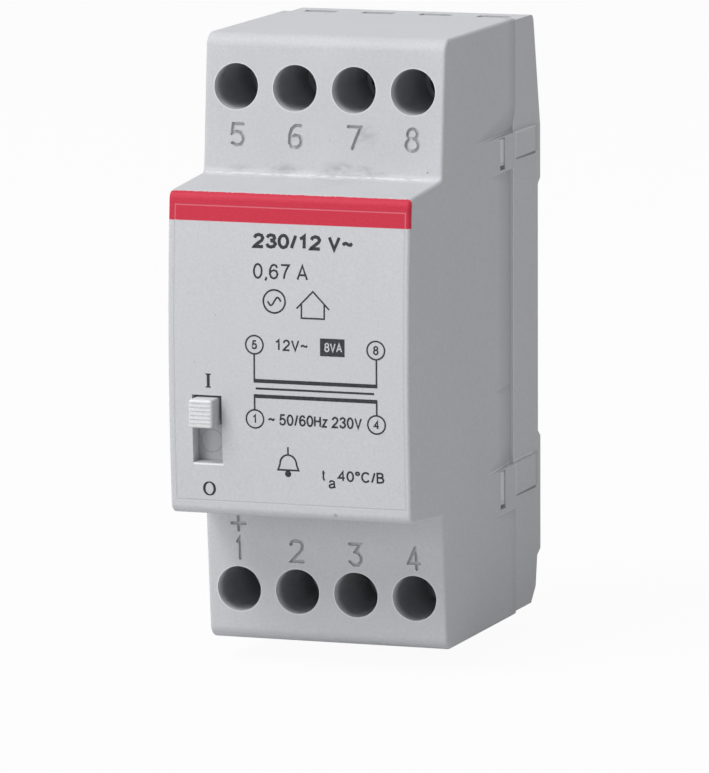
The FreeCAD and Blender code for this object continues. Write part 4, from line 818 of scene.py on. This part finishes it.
def wound(name, pale, deep, wire_mm, metallic):
    """A winding: round turns side by side along Y, height = |sin(pi y / wire)|, shading the gaps."""
    material, tree = blank(name)
    place = add(tree, "ShaderNodeTexCoord", out="Object")
    y = add(tree, "ShaderNodeSeparateXYZ", inputs={0: place}, out="Y")
    turns = add(tree, "ShaderNodeMath", {"operation": "MULTIPLY"}, {0: y, 1: math.pi / (wire_mm * MM)})
    turns = add(tree, "ShaderNodeMath", {"operation": "SINE"}, {0: turns})
    turns = add(tree, "ShaderNodeMath", {"operation": "ABSOLUTE"}, {0: turns})
    patch = add(tree, "ShaderNodeTexNoise", inputs={"Vector": place, "Scale": 1 / (3 * MM), "Detail": 2.0})
    tone = add(tree, "ShaderNodeMath", {"operation": "MULTIPLY_ADD"}, {0: patch, 1: 0.3, 2: turns})
    colour = laid_over(tree, linear(deep), linear(pale), tone)
    normal = add(tree, "ShaderNodeBump",
                 inputs={"Strength": 0.8, "Distance": wire_mm / 2 * MM, "Height": turns})
    gloss = add(tree, "ShaderNodeMapRange", inputs={0: patch, 3: 0.22, 4: 0.38})
    shader = add(tree, "ShaderNodeBsdfPrincipled",
                 inputs={"Base Color": colour, "Metallic": metallic, "Roughness": gloss, "Normal": normal})
    add(tree, "ShaderNodeOutputMaterial", inputs={"Surface": shader})
    return material


dress(wound("enamelled_copper_wire_fine", "B0603A", "5E2A18", 0.22, 0.8), "primary_winding")
dress(wound("enamelled_copper_wire_thick", "B8683C", "63301A", 0.6, 0.8), "secondary_winding")
dress(wound("polyester_tape_wrapped", "E2BE3C", "C49A20", 6.0, 0.0), "primary_tape", "secondary_tape")

# Thermal cut-out: a flat steel case in a sleeve of dark shrink film with a
# slight gloss. It lies on the mains winding and opens when that runs too hot.
film, tree = blank("dark_shrink_film")
place, colour, grain = moulded_skin(tree, "2E2F33", "242529", 0.6)
plastic(tree, colour, grain, 0.35, 1.5, 0.03)
dress(film, "thermal_cutout")

# Inside leads: fine copper strands in extruded PVC, smooth with a slight shine,
# soldered at both ends
for name, pale, deep, leads in (
        ("brown_pvc_extruded", "6B4028", "57331F", ("lead_line_in", "lead_switched")),
        ("blue_pvc_extruded", "2F5FA8", "264F8E", ("lead_neutral",)),
        ("white_pvc_extruded", "E2E2DE", "D2D2CC", ("lead_secondary_5", "lead_secondary_8"))):
    sleeve, tree = blank(name)
    place, colour, grain = moulded_skin(tree, pale, deep, 0.7)
    plastic(tree, colour, grain, 0.3, 1.54, 0.01)
    dress(sleeve, *leads)

# Studio: a sweep of pale paper that keeps the soft shadow, low enough for the
# clip to come down, in a white surround. A large soft box stands above on the
# left, and weak ones in front, at the right and on top fill in like white walls.
HALF_FLOOR = 4.0
FLOOR_GAP = 0.2 * MM
PAPER_WHITE = 0.95
DIM_SURROUND = 0.24
floor_level = cad_low.z - SPRING_TRAVEL - FLOOR_GAP
floor_mesh = bpy.data.meshes.new("floor")
floor_mesh.from_pydata([(-HALF_FLOOR, -HALF_FLOOR, floor_level), (HALF_FLOOR, -HALF_FLOOR, floor_level),
                        (HALF_FLOOR, HALF_FLOOR, floor_level), (-HALF_FLOOR, HALF_FLOOR, floor_level)],
                       [], [(0, 1, 2, 3)])
floor = placed("floor", floor_mesh)
# Matt white paper with a faint fibre. To the camera it is nearly the white of
# the surround, and the rest of it keeps the shadow.
paper, tree = blank("white_paper_sweep")
place = add(tree, "ShaderNodeTexCoord", out="Object")
fibre = add(tree, "ShaderNodeTexNoise", inputs={"Vector": place, "Scale": 60.0, "Detail": 3.0})
tone = laid_over(tree, linear("E2E2E2"), linear("DCDCDC"), fibre)
matt = add(tree, "ShaderNodeBsdfDiffuse", inputs={"Color": tone})
white = add(tree, "ShaderNodeEmission", inputs={"Color": (1, 1, 1, 1), "Strength": 1.0})
seen = add(tree, "ShaderNodeLightPath", out="Is Camera Ray")
share = add(tree, "ShaderNodeMath", {"operation": "MULTIPLY"}, {0: seen, 1: PAPER_WHITE})
shader = add(tree, "ShaderNodeMixShader", inputs={0: share, 1: matt, 2: white})
add(tree, "ShaderNodeOutputMaterial", inputs={"Surface": shader})
floor_mesh.materials.append(paper)

# The surround is white to the camera and in reflections, and dim to all else
world = bpy.data.worlds.new("studio_surround")
bpy.context.scene.world = world
world.use_nodes = True
tree = world.node_tree
tree.nodes.clear()
seen, glossy, through = (add(tree, "ShaderNodeLightPath", out=f"Is {kind} Ray")
                         for kind in ("Camera", "Glossy", "Transmission"))
shown = add(tree, "ShaderNodeMath", {"operation": "ADD"}, {0: seen, 1: glossy})
shown = add(tree, "ShaderNodeMath", {"operation": "ADD", "use_clamp": True}, {0: shown, 1: through})
strength = add(tree, "ShaderNodeMapRange", inputs={0: shown, 3: DIM_SURROUND, 4: 1.0})
sky = add(tree, "ShaderNodeBackground", inputs={"Color": (1, 1, 1, 1), "Strength": strength})
add(tree, "ShaderNodeOutputWorld", inputs={"Surface": sky})

# Each soft box: its side in metres, its power in watts and its place. It faces the part.
for name, size, energy, location in (("soft_box_above", 0.8, 14.0, (-0.48, -0.82, 1.1)),
                                     ("soft_box_front", 0.6, 4.3, (-0.74, -1.28, 0.25)),
                                     ("soft_box_right", 0.5, 1.25, (1.25, -0.45, 0.22)),
                                     ("soft_box_top", 0.6, 3.0, (0.1, 0.2, 1.4))):
    lamp_data = bpy.data.lights.new(name, "AREA")
    lamp_data.shape = "SQUARE"
    lamp_data.size = size
    lamp_data.energy = energy
    lamp = placed(name, lamp_data)
    lamp.location = location
    lamp.rotation_euler = (-lamp.location).to_track_quat("-Z", "Y").to_euler()

# The camera's lens and place are the fit to the photograph's edges
camera_data = bpy.data.cameras.new("camera")
camera_data.sensor_width = 36.0
camera_data.lens = 371.17
camera_data.clip_start = 0.05
camera = placed("camera", camera_data)
camera.matrix_world = Matrix(((0.943446, -0.04550853, 0.3283879, 0.36578745),
                              (0.3315006, 0.1418127, -0.93273603, -1.06904876),
                              (-0.00412213, 0.98884687, 0.14887873, 0.15796315), (0, 0, 0, 1)))
bpy.context.scene.camera = camera
bpy.context.scene.view_settings.view_transform = "Standard"
